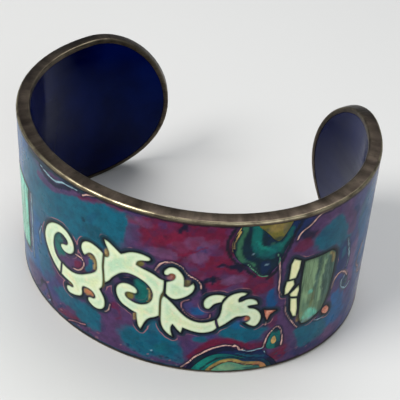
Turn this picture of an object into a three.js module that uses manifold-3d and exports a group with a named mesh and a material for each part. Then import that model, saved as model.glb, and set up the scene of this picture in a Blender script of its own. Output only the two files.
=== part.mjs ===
// Open cuff bracelet: a bent metal blank with a tray on each face, lacquered inside and out,
// with pieces of shell and coloured fills laid into the outer lacquer.
// Units are millimetres. +Z is up, the middle of the front faces -Y, and the opening faces +Y.

import * as THREE from 'three';
import { mergeVertices } from 'three/addons/utils/BufferGeometryUtils.js';
import { TessellateModifier } from 'three/addons/modifiers/TessellateModifier.js';
import Module from 'manifold-3d';

const wasm = await Module();
wasm.setup();

// The band
const cuffWidth = 62;           // outside, across the wrist
const cuffDepth = 52.5;         // outside, front to back of the ellipse that the band follows
const bandHeight = 32.6;
const bandLength = 147;         // along the outside, from tip to tip
const wallThickness = 2.3;
const lean = 0.042;             // share by which the plan shrinks from the bottom edge to the top
const endRadius = bandHeight / 2;
const endCentre = bandLength / 2 - endRadius;

// The trays and what fills them
const outerRim = 0.6;           // bare metal left round the outer tray
const innerRim = 0.9;           // bare metal left round the inner tray
const coatDepth = 0.6;
const liningDepth = 0.4;
const trayGap = 0.1;            // between a tray and what is laid in it
const inlayGap = 0.1;           // between an inlay and its pocket

// How finely curves are cut into flats
const bandFlats = 48;           // along the whole band
const flatLength = bandLength / bandFlats;
const endArcSegments = 20;
const splineSegments = 1;       // per point of an outline
const acrossShare = 0.1;        // share of their length that counts for flats lying across the band
const splitRounds = 20;
const weldDistance = 1.7e-5;
const arcTableSize = 2000;

// How far a cutter runs past what it cuts
const overrun = 1;
const backAllowance = 0.25;     // angle left out of the ellipse at the back, in radians

const quarterTurn = Math.PI / 2;
const bandPath = new THREE.EllipseCurve(
  0,
  0,
  cuffWidth / 2,
  cuffDepth / 2,
  -3 * quarterTurn + backAllowance,
  quarterTurn - backAllowance
);
bandPath.arcLengthDivisions = arcTableSize;
const pathLength = bandPath.getLength();

// A place on the band: how far along it from the middle of the front, and how far in from its
// outer face.
function planPoint(along, depth) {
  const share = 0.5 + along / pathLength;
  const point = bandPath.getPointAt(share);
  const tangent = bandPath.getTangentAt(share);
  return new THREE.Vector2(point.x - tangent.y * depth, point.y + tangent.x * depth);
}

function leanScale(height) {
  return 1 + lean * (0.5 - height / bandHeight);
}

// Moves every vertex of a geometry through a function of its position.
function reshape(geometry, move) {
  const position = geometry.getAttribute('position');
  const vertex = new THREE.Vector3();
  for (let i = 0; i < position.count; i++) {
    vertex.fromBufferAttribute(position, i);
    move(vertex);
    position.setXYZ(i, vertex.x, vertex.y, vertex.z);
  }
  return geometry;
}

function toSolid(geometry) {
  geometry.deleteAttribute('normal');
  geometry.deleteAttribute('uv');
  const welded = mergeVertices(geometry, weldDistance);
  return new wasm.Manifold(new wasm.Mesh({
    numProp: 3,
    vertProperties: new Float32Array(welded.getAttribute('position').array),
    triVerts: new Uint32Array(welded.getIndex().array),
  }));
}

function toGeometry(solid) {
  const mesh = solid.getMesh();
  const geometry = new THREE.BufferGeometry();
  geometry.setAttribute('position', new THREE.BufferAttribute(mesh.vertProperties, 3));
  geometry.setIndex(new THREE.BufferAttribute(mesh.triVerts, 1));
  geometry.computeVertexNormals();
  return geometry;
}

// A flat outline, drawn along the band and up it, becomes a curved cutter right through the wall.
function wrappedCutter(outline) {
  const shape = new THREE.Shape(outline);
  const sheet = new THREE.ExtrudeGeometry(shape, {
    depth: wallThickness + 2 * overrun,
    bevelEnabled: false,
  });
  sheet.translate(0, 0, -wallThickness - overrun);
  sheet.scale(1, acrossShare, acrossShare);
  const split = new TessellateModifier(flatLength, splitRounds).modify(sheet);
  split.scale(1, 1 / acrossShare, 1 / acrossShare);
  reshape(split, (vertex) => {
    const place = planPoint(vertex.x, -vertex.z);
    const scale = leanScale(vertex.y);
    vertex.set(place.x * scale, place.y * scale, vertex.y);
  });
  return toSolid(split);
}

// What lies beyond the round end of the band, on its right (side 1) or its left (side -1).
function endCutter(edge, side) {
  const shape = new THREE.Shape();
  const farAlong = side * (endCentre + endRadius + overrun);
  const radius = endRadius - edge;
  const start = side * endCentre;
  shape.moveTo(start, -overrun);
  shape.lineTo(farAlong, -overrun);
  shape.lineTo(farAlong, bandHeight + overrun);
  shape.lineTo(start, bandHeight + overrun);
  shape.lineTo(start, endRadius + radius);
  shape.absarc(start, endRadius, radius, quarterTurn, side > 0 ? -quarterTurn : 3 * quarterTurn, side > 0);
  return wrappedCutter(tidyPoints(shape.getPoints(endArcSegments)));
}

// The curved slab between two depths in the wall, kept back from the band's edge all round.
function bandSlab(nearDepth, farDepth, edge) {
  const reach = bandLength / 2 - edge;
  const outline = [];
  for (let i = 0; i <= bandFlats; i++) {
    outline.push(planPoint(reach * (2 * i / bandFlats - 1), nearDepth));
  }
  for (let i = bandFlats; i >= 0; i--) {
    outline.push(planPoint(reach * (2 * i / bandFlats - 1), farDepth));
  }
  const wall = new THREE.ExtrudeGeometry(new THREE.Shape(outline), {
    depth: bandHeight - 2 * edge,
    bevelEnabled: false,
  });
  wall.translate(0, 0, edge);
  reshape(wall, (vertex) => {
    const scale = leanScale(vertex.z);
    vertex.set(vertex.x * scale, vertex.y * scale, vertex.z);
  });
  return toSolid(wall).subtract(endCutter(edge, 1)).subtract(endCutter(edge, -1));
}

// Drops repeated points and turns an outline anticlockwise.
function tidyPoints(points) {
  const kept = points.filter((point, i) => {
    const next = points[(i + 1) % points.length];
    return point.distanceTo(next) > weldDistance;
  });
  return THREE.ShapeUtils.isClockWise(kept) ? kept.reverse() : kept;
}

// An outline is a list of stretches. Each stretch is smooth and starts where the last one ended,
// so the outline has a corner wherever a stretch ends. A point is how far along the band it lies,
// from the middle of the front to the right, and how far up from the bottom edge.
function outlineFrom(stretches) {
  const shape = new THREE.Shape();
  const [first] = stretches[0];
  shape.moveTo(first[0], first[1]);
  stretches.forEach((stretch, i) => {
    const points = stretch.slice(i === 0 ? 1 : 0).map(([along, up]) => new THREE.Vector2(along, up));
    if (points.length === 1) {
      shape.lineTo(points[0].x, points[0].y);
    } else {
      shape.splineThru(points);
    }
  });
  return tidyPoints(shape.getPoints(splineSegments));
}

function polygonFrom(corners) {
  return tidyPoints(corners.map(([along, up]) => new THREE.Vector2(along, up)));
}

// Moves each edge of an anticlockwise outline inwards. A negative gap moves it outwards.
function insetOutline(outline, gap) {
  const sharpest = 0.3;
  return outline.map((point, i) => {
    const before = outline[(i + outline.length - 1) % outline.length];
    const after = outline[(i + 1) % outline.length];
    const inFrom = point.clone().sub(before).normalize().rotateAround(new THREE.Vector2(), quarterTurn);
    const inTo = after.clone().sub(point).normalize().rotateAround(new THREE.Vector2(), quarterTurn);
    const reach = gap / Math.max(sharpest, 1 + inFrom.dot(inTo));
    return point.clone().addScaledVector(inFrom.add(inTo), reach);
  });
}

// Shell scroll across the front, in seven segments
const scrollHook = outlineFrom([
  [[-12.6, 11.2], [-14.3, 12.5], [-15.7, 14.3], [-16.5, 16.4], [-16.2, 18.6], [-15.1, 20.4],
    [-13.4, 21.6], [-11.4, 21.9], [-9.8, 21], [-9.05, 19.4], [-9.4, 17.8], [-10.7, 16.95],
    [-11.9, 17.2], [-12.15, 17.9], [-11.6, 18.4], [-10.8, 18.7], [-10.5, 19.4], [-11.1, 20.1],
    [-12.2, 20.3], [-13.3, 19.4], [-13.95, 17.8], [-13.95, 15.9], [-13.3, 14.5], [-12.25, 13.85]],
]);

const scrollFork = outlineFrom([
  [[-12.3, 11.25], [-11.5, 11.05], [-10.6, 10.9], [-9.9, 10.8], [-9.5, 10.4], [-9.75, 10],
    [-10.5, 9.85], [-11, 9.45], [-11, 8.8], [-10.5, 8.3], [-9.6, 8.4], [-8.6, 8.8], [-7.75, 9.4],
    [-7.45, 10.3], [-7.5, 11.2], [-7.25, 11.8], [-6.5, 12.05], [-5.6, 12], [-5, 11.5],
    [-4.85, 10.95], [-5.2, 10.45], [-5.8, 10.35], [-6.25, 10], [-6.3, 9.5], [-5.9, 8.95],
    [-5, 8.5], [-3.95, 8.65], [-3.2, 9.4], [-2.95, 10.5], [-3.1, 11.7], [-3.6, 12.7], [-3.95, 13.3]],
  [[-3.5, 14], [-3.3, 15.2], [-3.3, 16.8], [-3.4, 18.7], [-3.3, 20.2], [-3.2, 21.5]],
  [[-3.9, 21.95], [-4.8, 22.3], [-5.8, 22.4], [-6.8, 22], [-7.4, 21.1], [-7.45, 20.1], [-6.9, 19]],
  [[-6.6, 19.3], [-6.2, 19.75], [-5.7, 20.15], [-5.1, 20.1], [-4.65, 19.5], [-4.45, 18.3],
    [-4.6, 17.1], [-5.3, 16.2], [-6.5, 15.2], [-7.9, 14.2], [-9.4, 13.6], [-10.8, 13.6],
    [-11.95, 13.9]],
]);

const scrollBody = outlineFrom([
  [[-3, 20.95], [-2.4, 21.2], [-2.15, 21.9], [-2.4, 22.8], [-2.8, 23.7], [-3.05, 24.55]],
  [[-2.4, 24.45], [-1.6, 24], [-0.9, 23.5], [-0.1, 22.9]],
  [[0.5, 23.3], [1.2, 23.8], [2.1, 24.15], [3.1, 24.25], [4.1, 24.1], [4.75, 23.75], [4.7, 23.35],
    [4.1, 23.05], [3.3, 22.85], [2.7, 22.4], [2.5, 21.75]],
  [[3.4, 21.4], [4.5, 21.1], [5.5, 20.7], [6.3, 20.2], [7, 20]],
  [[7, 19], [6.9, 17.6], [6.55, 16.6], [6.4, 15], [6.4, 13.2], [6.4, 12.1]],
  [[5.7, 11.5], [4.9, 11], [4.35, 10.3], [3.95, 9.4], [3.65, 8.5], [3.4, 7.8]],
  [[3, 8.4], [2.8, 9.3], [2.65, 10.4], [2.6, 11.3]],
  [[1.9, 11.5], [1, 11.9], [0.1, 12.4], [-0.6, 13.4], [-0.9, 14.6], [-0.75, 15.8], [-0.1, 16.7],
    [0.9, 17.15], [1.9, 17.05], [2.6, 16.6], [2.75, 16], [2.5, 15.55], [1.8, 15.45], [1.1, 15.3],
    [0.75, 14.8], [0.9, 14.2], [1.6, 13.75], [2.7, 13.5], [3.8, 13.75], [4.7, 14.5], [5.2, 15.8],
    [5.05, 17.2], [4.3, 18.3], [3.2, 19], [2.1, 19.35], [1, 19.35], [0, 18.9], [-0.9, 18],
    [-1.6, 17.1], [-2.2, 16.1], [-3, 15.2]],
  [[-3.05, 16.8], [-3.15, 18.7]],
]);

const scrollBud = outlineFrom([
  [[7.25, 17.3], [7.8, 16.7], [8.6, 16.4], [9.5, 16.7], [10.4, 17.3], [11.1, 18], [11.55, 18.8],
    [11.7, 19.7], [11.45, 20.45]],
  [[11.1, 20], [10.6, 19.55], [10.1, 19.5]],
  [[10.1, 20.6], [9.9, 21.6], [9.4, 22.4], [8.7, 23], [7.9, 23], [7.2, 22.4], [6.9, 21.8],
    [7.1, 21.2], [7.6, 21.25], [8, 21.65], [8.5, 21.6], [8.65, 21.1], [8.3, 20.4], [7.3, 19.8]],
]);

const scrollWave = outlineFrom([
  [[6.95, 16.75], [6.7, 16.1], [6.6, 15], [6.6, 13.4], [6.6, 12], [6.65, 10.9], [6.9, 9.8],
    [7.4, 8.9], [8.1, 8.2], [8.7, 7.85]],
  [[8.5, 8.6], [8.35, 9.5], [8.4, 10.3], [8.6, 10.75]],
  [[9, 10.2], [9.4, 9.6], [9.95, 9.05]],
  [[10.1, 9.7], [10.2, 10.35]],
  [[11, 10.05], [12, 9.75], [13.1, 9.65], [14.2, 9.9], [15, 10.35], [15.5, 11]],
  [[15.25, 11.9], [15.1, 12.8]],
  [[14.3, 12.35], [13.3, 12.05], [12.2, 12.1], [11.2, 12.5], [10.3, 13.2], [9.5, 14.1], [8.8, 15],
    [8, 15.9], [7.45, 16.4], [6.95, 16.75]],
]);

const scrollTendril = outlineFrom([
  [[15.9, 16.75], [15.3, 16.55], [14.75, 16.2], [14.35, 15.6], [14, 15.2], [13.5, 15.3],
    [13.2, 15.9], [13.2, 16.8], [13.6, 17.6], [14.2, 18.1], [15, 18.35], [15.9, 18.3],
    [16.55, 18.05]],
  [[16.15, 17.4], [15.9, 16.75]],
]);

const scrollClaw = outlineFrom([
  [[15.35, 12.9], [15.65, 13.5], [15.85, 14.4], [15.95, 15.3], [16, 16.2], [16.15, 16.7],
    [16.45, 17.3], [16.85, 17.95]],
  [[17.5, 18.45], [18.3, 18.75], [19.1, 18.8], [19.8, 18.55]],
  [[19.4, 18.1], [18.8, 17.8], [18.5, 17.3], [18.55, 16.75]],
  [[19, 16.85], [19.6, 17.2], [20.3, 17.3], [21, 17], [21.45, 16.45], [21.55, 15.9]],
  [[20.9, 15.85], [20, 15.75]],
  [[20.2, 15.35], [20.9, 15.1], [21.6, 14.6], [22.1, 13.8], [22.3, 12.9], [22.15, 12], [21.8, 11.3],
    [21.4, 11], [20.8, 11.2], [20.1, 11.7], [19.75, 12.05]],
  [[20.2, 12.3], [20.5, 12.8], [20.3, 13.35], [19.8, 13.6], [19.1, 13.5], [18.5, 13.5],
    [17.9, 13.1], [17.2, 12.4], [16.5, 11.7], [15.8, 11.15]],
  [[15.55, 11.9], [15.35, 12.9]],
]);

// Shell tiles beside the scroll, with the split strips along the right one
const abaloneRight = outlineFrom([
  [[28.55, 23.2], [31, 23.1], [33.9, 23.15]],
  [[34.8, 22.3], [34.95, 20], [34.8, 16.5], [34.4, 13], [33.35, 10.1]],
  [[32, 9.35], [30.6, 8.75], [29.5, 8.95]],
  [[28.9, 10.5], [28.7, 13], [28.55, 17], [28.5, 20.5], [28.55, 23.2]],
]);

const abaloneLeft = outlineFrom([
  [[-22.4, 22], [-22.7, 19], [-22.9, 15], [-22.8, 11], [-23.2, 8.2]],
  [[-25.5, 7.6], [-29, 7.4], [-31.6, 8.4]],
  [[-32.2, 12], [-32.3, 17], [-31.6, 21.4]],
  [[-28, 22.4], [-24.5, 22.3], [-22.4, 22]],
]);

const shellStrips = [
  [[26.25, 23.2], [26.7, 24.3], [27.95, 23.55], [27.85, 21.9], [27.4, 20.05], [26.2, 20]],
  [[25.85, 19.75], [27.1, 19.8], [27.3, 18.7], [26.4, 17.1], [25.75, 16.9], [25.65, 18.3]],
  [[28.1, 18.35], [28.3, 17.3], [28.1, 15.75], [26.85, 16.15], [26.6, 16.8], [27.35, 17.5]],
  [[26.85, 15.85], [28.1, 15.45], [28.4, 13], [28.35, 11.2], [27.7, 11.4], [27.1, 13]],
].map(polygonFrom);

// Coral beside the claw and at the foot of the right tile
const coralShard = polygonFrom([[22.6, 14.45], [24.7, 13.95], [23.75, 13.2], [23.3, 11.9], [22.9, 13]]);

const coralChip = outlineFrom([
  [[33.75, 10.15], [34.4, 10.4], [35, 9.9], [35.35, 9], [35, 8.35], [34.2, 8.6], [33.65, 9.3],
    [33.75, 10.15]],
]);

// Coloured fills. Those that reach the rim are drawn past it and trimmed to the coat.
const pastTop = bandHeight + overrun / 2;
const pastBottom = -overrun / 2;

const greenSwirl = outlineFrom([
  [[18.1, pastTop], [17.9, 31.6], [17.2, 30.2], [16.8, 28.6], [16.95, 27.2], [17.5, 25.9],
    [18.4, 24.8], [19.6, 23.9], [20.4, 22.8], [21.3, 21.9], [22.2, 21.6], [22.9, 21.9],
    [23.3, 22.7], [24, 23.6], [24.5, 24.8], [24.9, 26.2], [25.5, 27.7], [26, 29.2], [26.3, 30.7],
    [27.1, pastTop]],
]);

const ochreWedge = outlineFrom([
  [[20.1, pastTop], [20.5, 31.8], [21.4, 30.9], [22.3, 29.9], [23.1, 28.9], [23.8, 28.6],
    [24.4, 29.2], [25, 30.3], [25.6, 31.6], [25.9, pastTop]],
]);

const fanNavy = outlineFrom([
  [[10.6, pastBottom], [11.3, 1.6], [12.3, 3.3], [13.4, 4.6], [14.7, 5.5], [16, 6.2], [17.2, 6.5],
    [18.3, 6.2], [19.4, 5.5], [20.8, 4.9], [22.2, 4.9], [23.1, 5.1]],
  [[23.7, 4], [24.6, 2.9], [25.6, 1.6], [26.3, pastBottom]],
]);

const fanTeal = outlineFrom([
  [[11.4, pastBottom], [12.1, 1.2], [13.1, 2.7], [14.2, 3.9], [15.5, 4.7], [16.9, 4.9],
    [18.3, 4.6], [19.6, 4], [21.2, 3.5], [22.8, 3.2], [24, 2.3], [24.9, 1], [25.3, pastBottom]],
]);

const fanOchre = outlineFrom([
  [[13.6, pastBottom], [14.4, 1.2], [15.5, 2.5], [16.7, 3.4], [17.9, 3.7], [19.1, 3.4],
    [20.2, 2.8], [21.6, 2.5], [22.9, 2.2], [23.9, 1.3], [24.5, pastBottom]],
]);

const fanSage = outlineFrom([
  [[14.5, pastBottom], [15.4, 1.2], [16.5, 2.3], [17.8, 2.8], [19.1, 2.4], [20.3, 1.8],
    [21.7, 1.5], [22.8, 1.2], [23.4, pastBottom]],
]);

const lozengeRing = outlineFrom([
  [[25.1, 9.7], [25.8, 8.8], [26.05, 7.2], [26.1, 5.6], [25.8, 4.95], [24.8, 4.8], [23.8, 5.2],
    [23.75, 6.6], [24.1, 8.1], [24.5, 9.2], [25.1, 9.7]],
]);

const lozengeCore = outlineFrom([
  [[24.95, 8], [25.3, 7.2], [25.3, 6.3], [24.85, 5.95], [24.45, 6.5], [24.5, 7.4], [24.95, 8]],
]);

// Finishes
const finish = (color, roughness, metalness = 0) => (
  new THREE.MeshStandardMaterial({ color, roughness, metalness })
);
const brass = finish(0x8a7a5e, 0.38, 1);
const navyLacquer = finish(0x060a2a, 0.12);
const marbledLacquer = finish(0x3a3a5c, 0.12);
const creamShell = finish(0xe4edc8, 0.2);
const greenShell = finish(0x8fb59a, 0.2);
const coral = finish(0xc9886c, 0.3);
const greenFill = finish(0x1f6f62, 0.15);
const ochreFill = finish(0x8a7f3c, 0.15);
const navyFill = finish(0x10224a, 0.15);
const tealFill = finish(0x12806e, 0.15);
const sageFill = finish(0x5f9c86, 0.15);

const bracelet = new THREE.Group();

function addPiece(name, solid, material) {
  const piece = new THREE.Mesh(toGeometry(solid), material.clone());
  piece.name = name;
  bracelet.add(piece);
}

function brassBlank() {
  const outerTray = bandSlab(-overrun, coatDepth + trayGap, outerRim);
  const innerTray = bandSlab(wallThickness - liningDepth - trayGap, wallThickness + overrun, innerRim);
  return bandSlab(0, wallThickness, 0).subtract(outerTray).subtract(innerTray);
}

// Each inlay is [name, outline, finish, outline of what is laid inside it].
const inlays = [
  ['scroll_hook', scrollHook, creamShell],
  ['scroll_fork', scrollFork, creamShell],
  ['scroll_body', scrollBody, creamShell],
  ['scroll_bud', scrollBud, creamShell],
  ['scroll_wave', scrollWave, creamShell],
  ['scroll_tendril', scrollTendril, creamShell],
  ['scroll_claw', scrollClaw, creamShell],
  ['abalone_tile_right', abaloneRight, greenShell],
  ['abalone_tile_left', abaloneLeft, greenShell],
  ...shellStrips.map((outline, i) => [`shell_strip_${i + 1}`, outline, creamShell]),
  ['coral_shard', coralShard, coral],
  ['coral_chip', coralChip, coral],
  ['green_swirl_fill', greenSwirl, greenFill, ochreWedge],
  ['ochre_wedge_fill', ochreWedge, ochreFill],
  ['fan_navy_fill', fanNavy, navyFill, fanTeal],
  ['fan_teal_fill', fanTeal, tealFill, fanOchre],
  ['fan_ochre_fill', fanOchre, ochreFill, fanSage],
  ['fan_sage_fill', fanSage, sageFill],
  ['lozenge_ring_fill', lozengeRing, greenFill, lozengeCore],
  ['lozenge_core_fill', lozengeCore, ochreFill],
];

const coatSheet = bandSlab(0, coatDepth, outerRim + trayGap);
const liningSheet = bandSlab(wallThickness - liningDepth, wallThickness, innerRim + trayGap);

addPiece('brass_blank', brassBlank(), brass);
addPiece('inner_lacquer', liningSheet, navyLacquer);

let coat = coatSheet;
inlays.forEach(([, outline]) => {
  coat = coat.subtract(wrappedCutter(outline));
});
addPiece('outer_lacquer', coat, marbledLacquer);

inlays.forEach(([name, outline, material, inside]) => {
  let inlay = coatSheet.intersect(wrappedCutter(insetOutline(outline, inlayGap)));
  if (inside) {
    inlay = inlay.subtract(wrappedCutter(inside));
  }
  addPiece(name, inlay, material);
});

// The origin is below the middle of the bracelet, on the face it stands on.
const middle = new THREE.Box3().setFromObject(bracelet).getCenter(new THREE.Vector3());
bracelet.position.y = -middle.y;

export default bracelet;
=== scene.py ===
import bpy
import math
import random
import numpy as np
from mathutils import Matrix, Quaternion, Vector, noise


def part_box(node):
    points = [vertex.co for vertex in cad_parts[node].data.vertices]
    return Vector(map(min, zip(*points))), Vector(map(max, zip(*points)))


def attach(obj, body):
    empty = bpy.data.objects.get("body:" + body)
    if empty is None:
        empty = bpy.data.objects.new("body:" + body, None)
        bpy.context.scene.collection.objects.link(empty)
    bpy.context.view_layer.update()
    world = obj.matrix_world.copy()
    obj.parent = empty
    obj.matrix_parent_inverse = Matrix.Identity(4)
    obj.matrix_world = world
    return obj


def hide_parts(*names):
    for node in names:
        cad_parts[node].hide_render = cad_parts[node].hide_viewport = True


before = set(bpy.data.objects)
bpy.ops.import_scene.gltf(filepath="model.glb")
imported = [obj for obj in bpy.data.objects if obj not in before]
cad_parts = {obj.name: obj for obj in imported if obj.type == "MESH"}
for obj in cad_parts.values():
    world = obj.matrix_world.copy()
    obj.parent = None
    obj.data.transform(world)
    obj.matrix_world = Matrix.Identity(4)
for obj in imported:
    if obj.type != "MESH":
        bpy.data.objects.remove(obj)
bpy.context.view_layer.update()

# Open cuff bracelet. Every piece is modelled flat and then bent: flat x runs along the band,
# flat y is the depth in from its outer face, and z is up.

mm = 0.001
quarterTurn = math.pi / 2

band = {
    "width": 62 * mm,  # outside, across the wrist
    "depth": 52.5 * mm,  # outside, front to back of the ellipse
    "length": 147 * mm,  # along the outside, tip to tip
    "wall": 2.3 * mm,
    "lean": 0.042,  # share by which the plan shrinks from the bottom to the top
    "outerRim": 0.6 * mm,
    "innerRim": 0.9 * mm,
    "coat": 0.6 * mm,  # depth of the outer lacquer
    "lining": 0.4 * mm,  # depth of the inner lacquer
    "trayGap": 0.05 * mm,  # under both lacquers
    "shadeAngle": math.radians(35),
    "endSides": 128,
}

blankLow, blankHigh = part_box("brass_blank")
bandHeight = blankHigh[2] - blankLow[2]
ringCentreY = blankLow[1] + band["depth"] / 2 * (1 + band["lean"] / 2)


# small helpers

def deselectAll():
    if bpy.context.object and bpy.context.object.mode != "OBJECT":
        bpy.ops.object.mode_set(mode="OBJECT")
    bpy.ops.object.select_all(action="DESELECT")


def pick(*things):
    deselectAll()
    for thing in things:
        thing.select_set(True)
    bpy.context.view_layer.objects.active = things[0]


def applyPlace(thing):
    pick(thing)
    bpy.ops.object.transform_apply(location=True, rotation=True, scale=True)


def applyTool(piece, kind, **settings):
    pick(piece)
    tool = piece.modifiers.new(kind.lower(), kind)
    for key, value in settings.items():
        setattr(tool, key, value)
    bpy.ops.object.modifier_apply(modifier=tool.name)


def discard(thing):
    bpy.data.objects.remove(thing, do_unlink=True)


def editOn(piece, what="FACE"):
    pick(piece)
    bpy.ops.object.mode_set(mode="EDIT")
    bpy.ops.mesh.select_mode(type=what)


def editOff():
    bpy.ops.object.mode_set(mode="OBJECT")


def chooseFaces(piece, test):
    editOff()
    for face in piece.data.polygons:
        face.select = test(face)
    bpy.ops.object.mode_set(mode="EDIT")


def weld(piece, reach=0.002 * mm):
    editOn(piece, "VERT")
    bpy.ops.mesh.select_all(action="SELECT")
    bpy.ops.mesh.remove_doubles(threshold=reach)
    bpy.ops.mesh.normals_make_consistent(inside=False)
    editOff()


def colour(red, green, blue):
    def toLinear(level):
        share = level / 255
        return share / 12.92 if share <= 0.04045 else ((share + 0.055) / 1.055) ** 2.4
    return (toLinear(red), toLinear(green), toLinear(blue), 1.0)


# the ellipse that the flat pieces are bent along, and the cage that leans them

def makeBendPath():
    deselectAll()
    bpy.ops.curve.primitive_bezier_circle_add(radius=1)
    path = bpy.context.object
    path.name = "bendPath"
    path.scale = (band["width"] / 2, -band["depth"] / 2, 1)
    applyPlace(path)
    path.data.use_radius = False
    path.data.use_deform_bounds = False
    path.data.resolution_u = 256
    return path


def makeLeanCage():
    deselectAll()
    bpy.ops.object.add(type="LATTICE", location=(0, 0, bandHeight / 2))
    cage = bpy.context.object
    cage.name = "leanCage"
    cage.scale = (2 * band["width"], 2 * band["width"], bandHeight)
    for axis in "uvw":
        setattr(cage.data, "interpolation_type_" + axis, "KEY_LINEAR")
    for point in cage.data.points:
        change = 1 - math.copysign(band["lean"] / 2, point.co.z)
        point.co_deform.x *= change
        point.co_deform.y *= change
    return cage


bendPath = makeBendPath()
leanCage = makeLeanCage()
halfPath = bendPath.data.splines[0].calc_length() / 2
print("bend path", round(2 * halfPath / mm, 2), "mm round")


def cutAcross(piece, step):
    # cuts every so often along the band, so that it can bend
    xs = [vertex.co.x for vertex in piece.data.vertices]
    low, high = min(xs), max(xs)
    count = max(1, round((high - low) / step))
    editOn(piece, "FACE")
    for i in range(1, count):
        bpy.ops.mesh.select_all(action="SELECT")
        bpy.ops.mesh.bisect(plane_co=(low + (high - low) * i / count, 0, 0), plane_no=(1, 0, 0))
    editOff()


def mapBand(piece):
    # a UV map that follows the band: 1 unit is the whole length, and the whole height
    mesh = piece.data
    while mesh.uv_layers:
        mesh.uv_layers.remove(mesh.uv_layers[0])
    layer = mesh.uv_layers.new(name="bandMap")
    points = flatPoints(piece)
    corners = np.empty(len(mesh.loops), dtype=np.int32)
    mesh.loops.foreach_get("vertex_index", corners)
    spread = points[corners, :2] * mm / (band["length"], bandHeight) + (0.5, 0)
    layer.data.foreach_set("uv", spread.astype(np.float32).ravel())


def flatPoints(piece):
    # along, up and depth of each vertex, in millimetres, while the piece is still flat
    spots = np.empty(len(piece.data.vertices) * 3)
    piece.data.vertices.foreach_get("co", spots)
    spots = spots.reshape(-1, 3)
    return np.stack([spots[:, 0] - halfPath, spots[:, 2], spots[:, 1]], axis=1) / mm


def bendRound(piece):
    mapBand(piece)
    applyTool(piece, "CURVE", object=bendPath, deform_axis="POS_X")
    applyTool(piece, "LATTICE", object=leanCage)
    piece.location.y = ringCentreY
    applyPlace(piece)
    pick(piece)
    bpy.ops.object.shade_smooth_by_angle(angle=band["shadeAngle"])


def settle(piece, name, node, finish):
    piece.name = name
    piece.data.name = name
    piece.data.materials.clear()
    piece.data.materials.append(finish)
    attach(piece, "root")
    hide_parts(node)


def storeNumber(piece, name, values):
    layer = piece.data.attributes.new(name, "FLOAT", "POINT")
    layer.data.foreach_set("value", np.asarray(values, dtype=np.float32))


def storeColour(piece, name, values):
    layer = piece.data.attributes.new(name, "FLOAT_COLOR", "POINT")
    layer.data.foreach_set("color", np.asarray(values, dtype=np.float32).ravel())


# flat blanks: a slab with round ends, and a slab with a fine mesh on its outer face

def roundEndedSlab(edge, near, far):
    deselectAll()
    radius = bandHeight / 2 - edge
    halfStep = math.pi / band["endSides"]
    bpy.ops.mesh.primitive_cylinder_add(
        vertices=band["endSides"],
        radius=radius / math.cos(halfStep),
        depth=far - near,
        location=(halfPath, (near + far) / 2, bandHeight / 2),
        rotation=(quarterTurn, 0, 0),
    )
    slab = bpy.context.object
    slab.rotation_euler.rotate_axis("Z", halfStep)
    applyPlace(slab)
    pull = band["length"] / 2 - bandHeight / 2
    for vertex in slab.data.vertices:
        vertex.co.x += math.copysign(pull, vertex.co.x - halfPath)
    return slab


def fineSlab(lowAlong, highAlong, lowUp, highUp, near, far, cell):
    deselectAll()
    width = highAlong - lowAlong
    height = highUp - lowUp
    bpy.ops.mesh.primitive_grid_add(
        x_subdivisions=max(2, round(width / cell)),
        y_subdivisions=max(2, round(height / cell)),
        size=1,
        location=(halfPath + (lowAlong + highAlong) / 2, near, (lowUp + highUp) / 2),
        rotation=(quarterTurn, 0, 0),
    )
    slab = bpy.context.object
    slab.scale = (width, height, 1)
    applyPlace(slab)
    editOn(slab, "EDGE")
    bpy.ops.mesh.select_all(action="DESELECT")
    bpy.ops.mesh.select_non_manifold()
    bpy.ops.mesh.extrude_edges_move(TRANSFORM_OT_translate={"value": (0, far - near, 0)})
    bpy.ops.mesh.edge_face_add()
    bpy.ops.mesh.select_all(action="SELECT")
    bpy.ops.mesh.normals_make_consistent(inside=False)
    editOff()
    return slab


# An outline is a list of stretches in millimetres along and up. Each stretch is smooth and
# starts where the last one ended, with a corner between them.

def outlineKnots(stretches, sharp=False):
    knots = []
    for index, stretch in enumerate(stretches):
        for spot, place in enumerate(stretch):
            corner = sharp or spot == len(stretch) - 1 or (index == 0 and spot == 0)
            knots.append((*place, corner))
    first, last = knots[0], knots[-1]
    if math.hypot(first[0] - last[0], first[1] - last[1]) < 0.01:
        knots.pop()
    return knots


def drawOutline(name, knots):
    sheet = bpy.data.curves.new(name, "CURVE")
    sheet.dimensions = "2D"
    sheet.resolution_u = 4
    spline = sheet.splines.new("BEZIER")
    spline.bezier_points.add(len(knots) - 1)
    for point, (along, up, corner) in zip(spline.bezier_points, knots):
        point.co = (halfPath + along * mm, up * mm, 0)
        point.handle_left_type = point.handle_right_type = "VECTOR" if corner else "AUTO"
    spline.use_cyclic_u = True
    drawn = bpy.data.objects.new(name, sheet)
    bpy.context.collection.objects.link(drawn)
    return drawn


def outlinePrism(name, knots, shrink=0.0):
    drawn = drawOutline(name, knots)
    drawn.data.fill_mode = "BOTH"
    drawn.data.extrude = 2 * mm
    drawn.data.offset = -shrink
    drawn.rotation_euler.x = quarterTurn
    pick(drawn)
    bpy.ops.object.convert(target="MESH")
    prism = bpy.context.object
    applyPlace(prism)
    weld(prism)
    return prism


def outlineLine(knots):
    # the outline as a closed run of points, in millimetres
    drawn = drawOutline("measure", knots)
    pick(drawn)
    drawn.data.fill_mode = "NONE"
    bpy.ops.object.convert(target="MESH")
    line = bpy.context.object
    points = [(vertex.co.x - halfPath, vertex.co.y) for vertex in line.data.vertices]
    discard(line)
    run = np.array(points) / mm
    return np.vstack([run, run[:1]])


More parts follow.
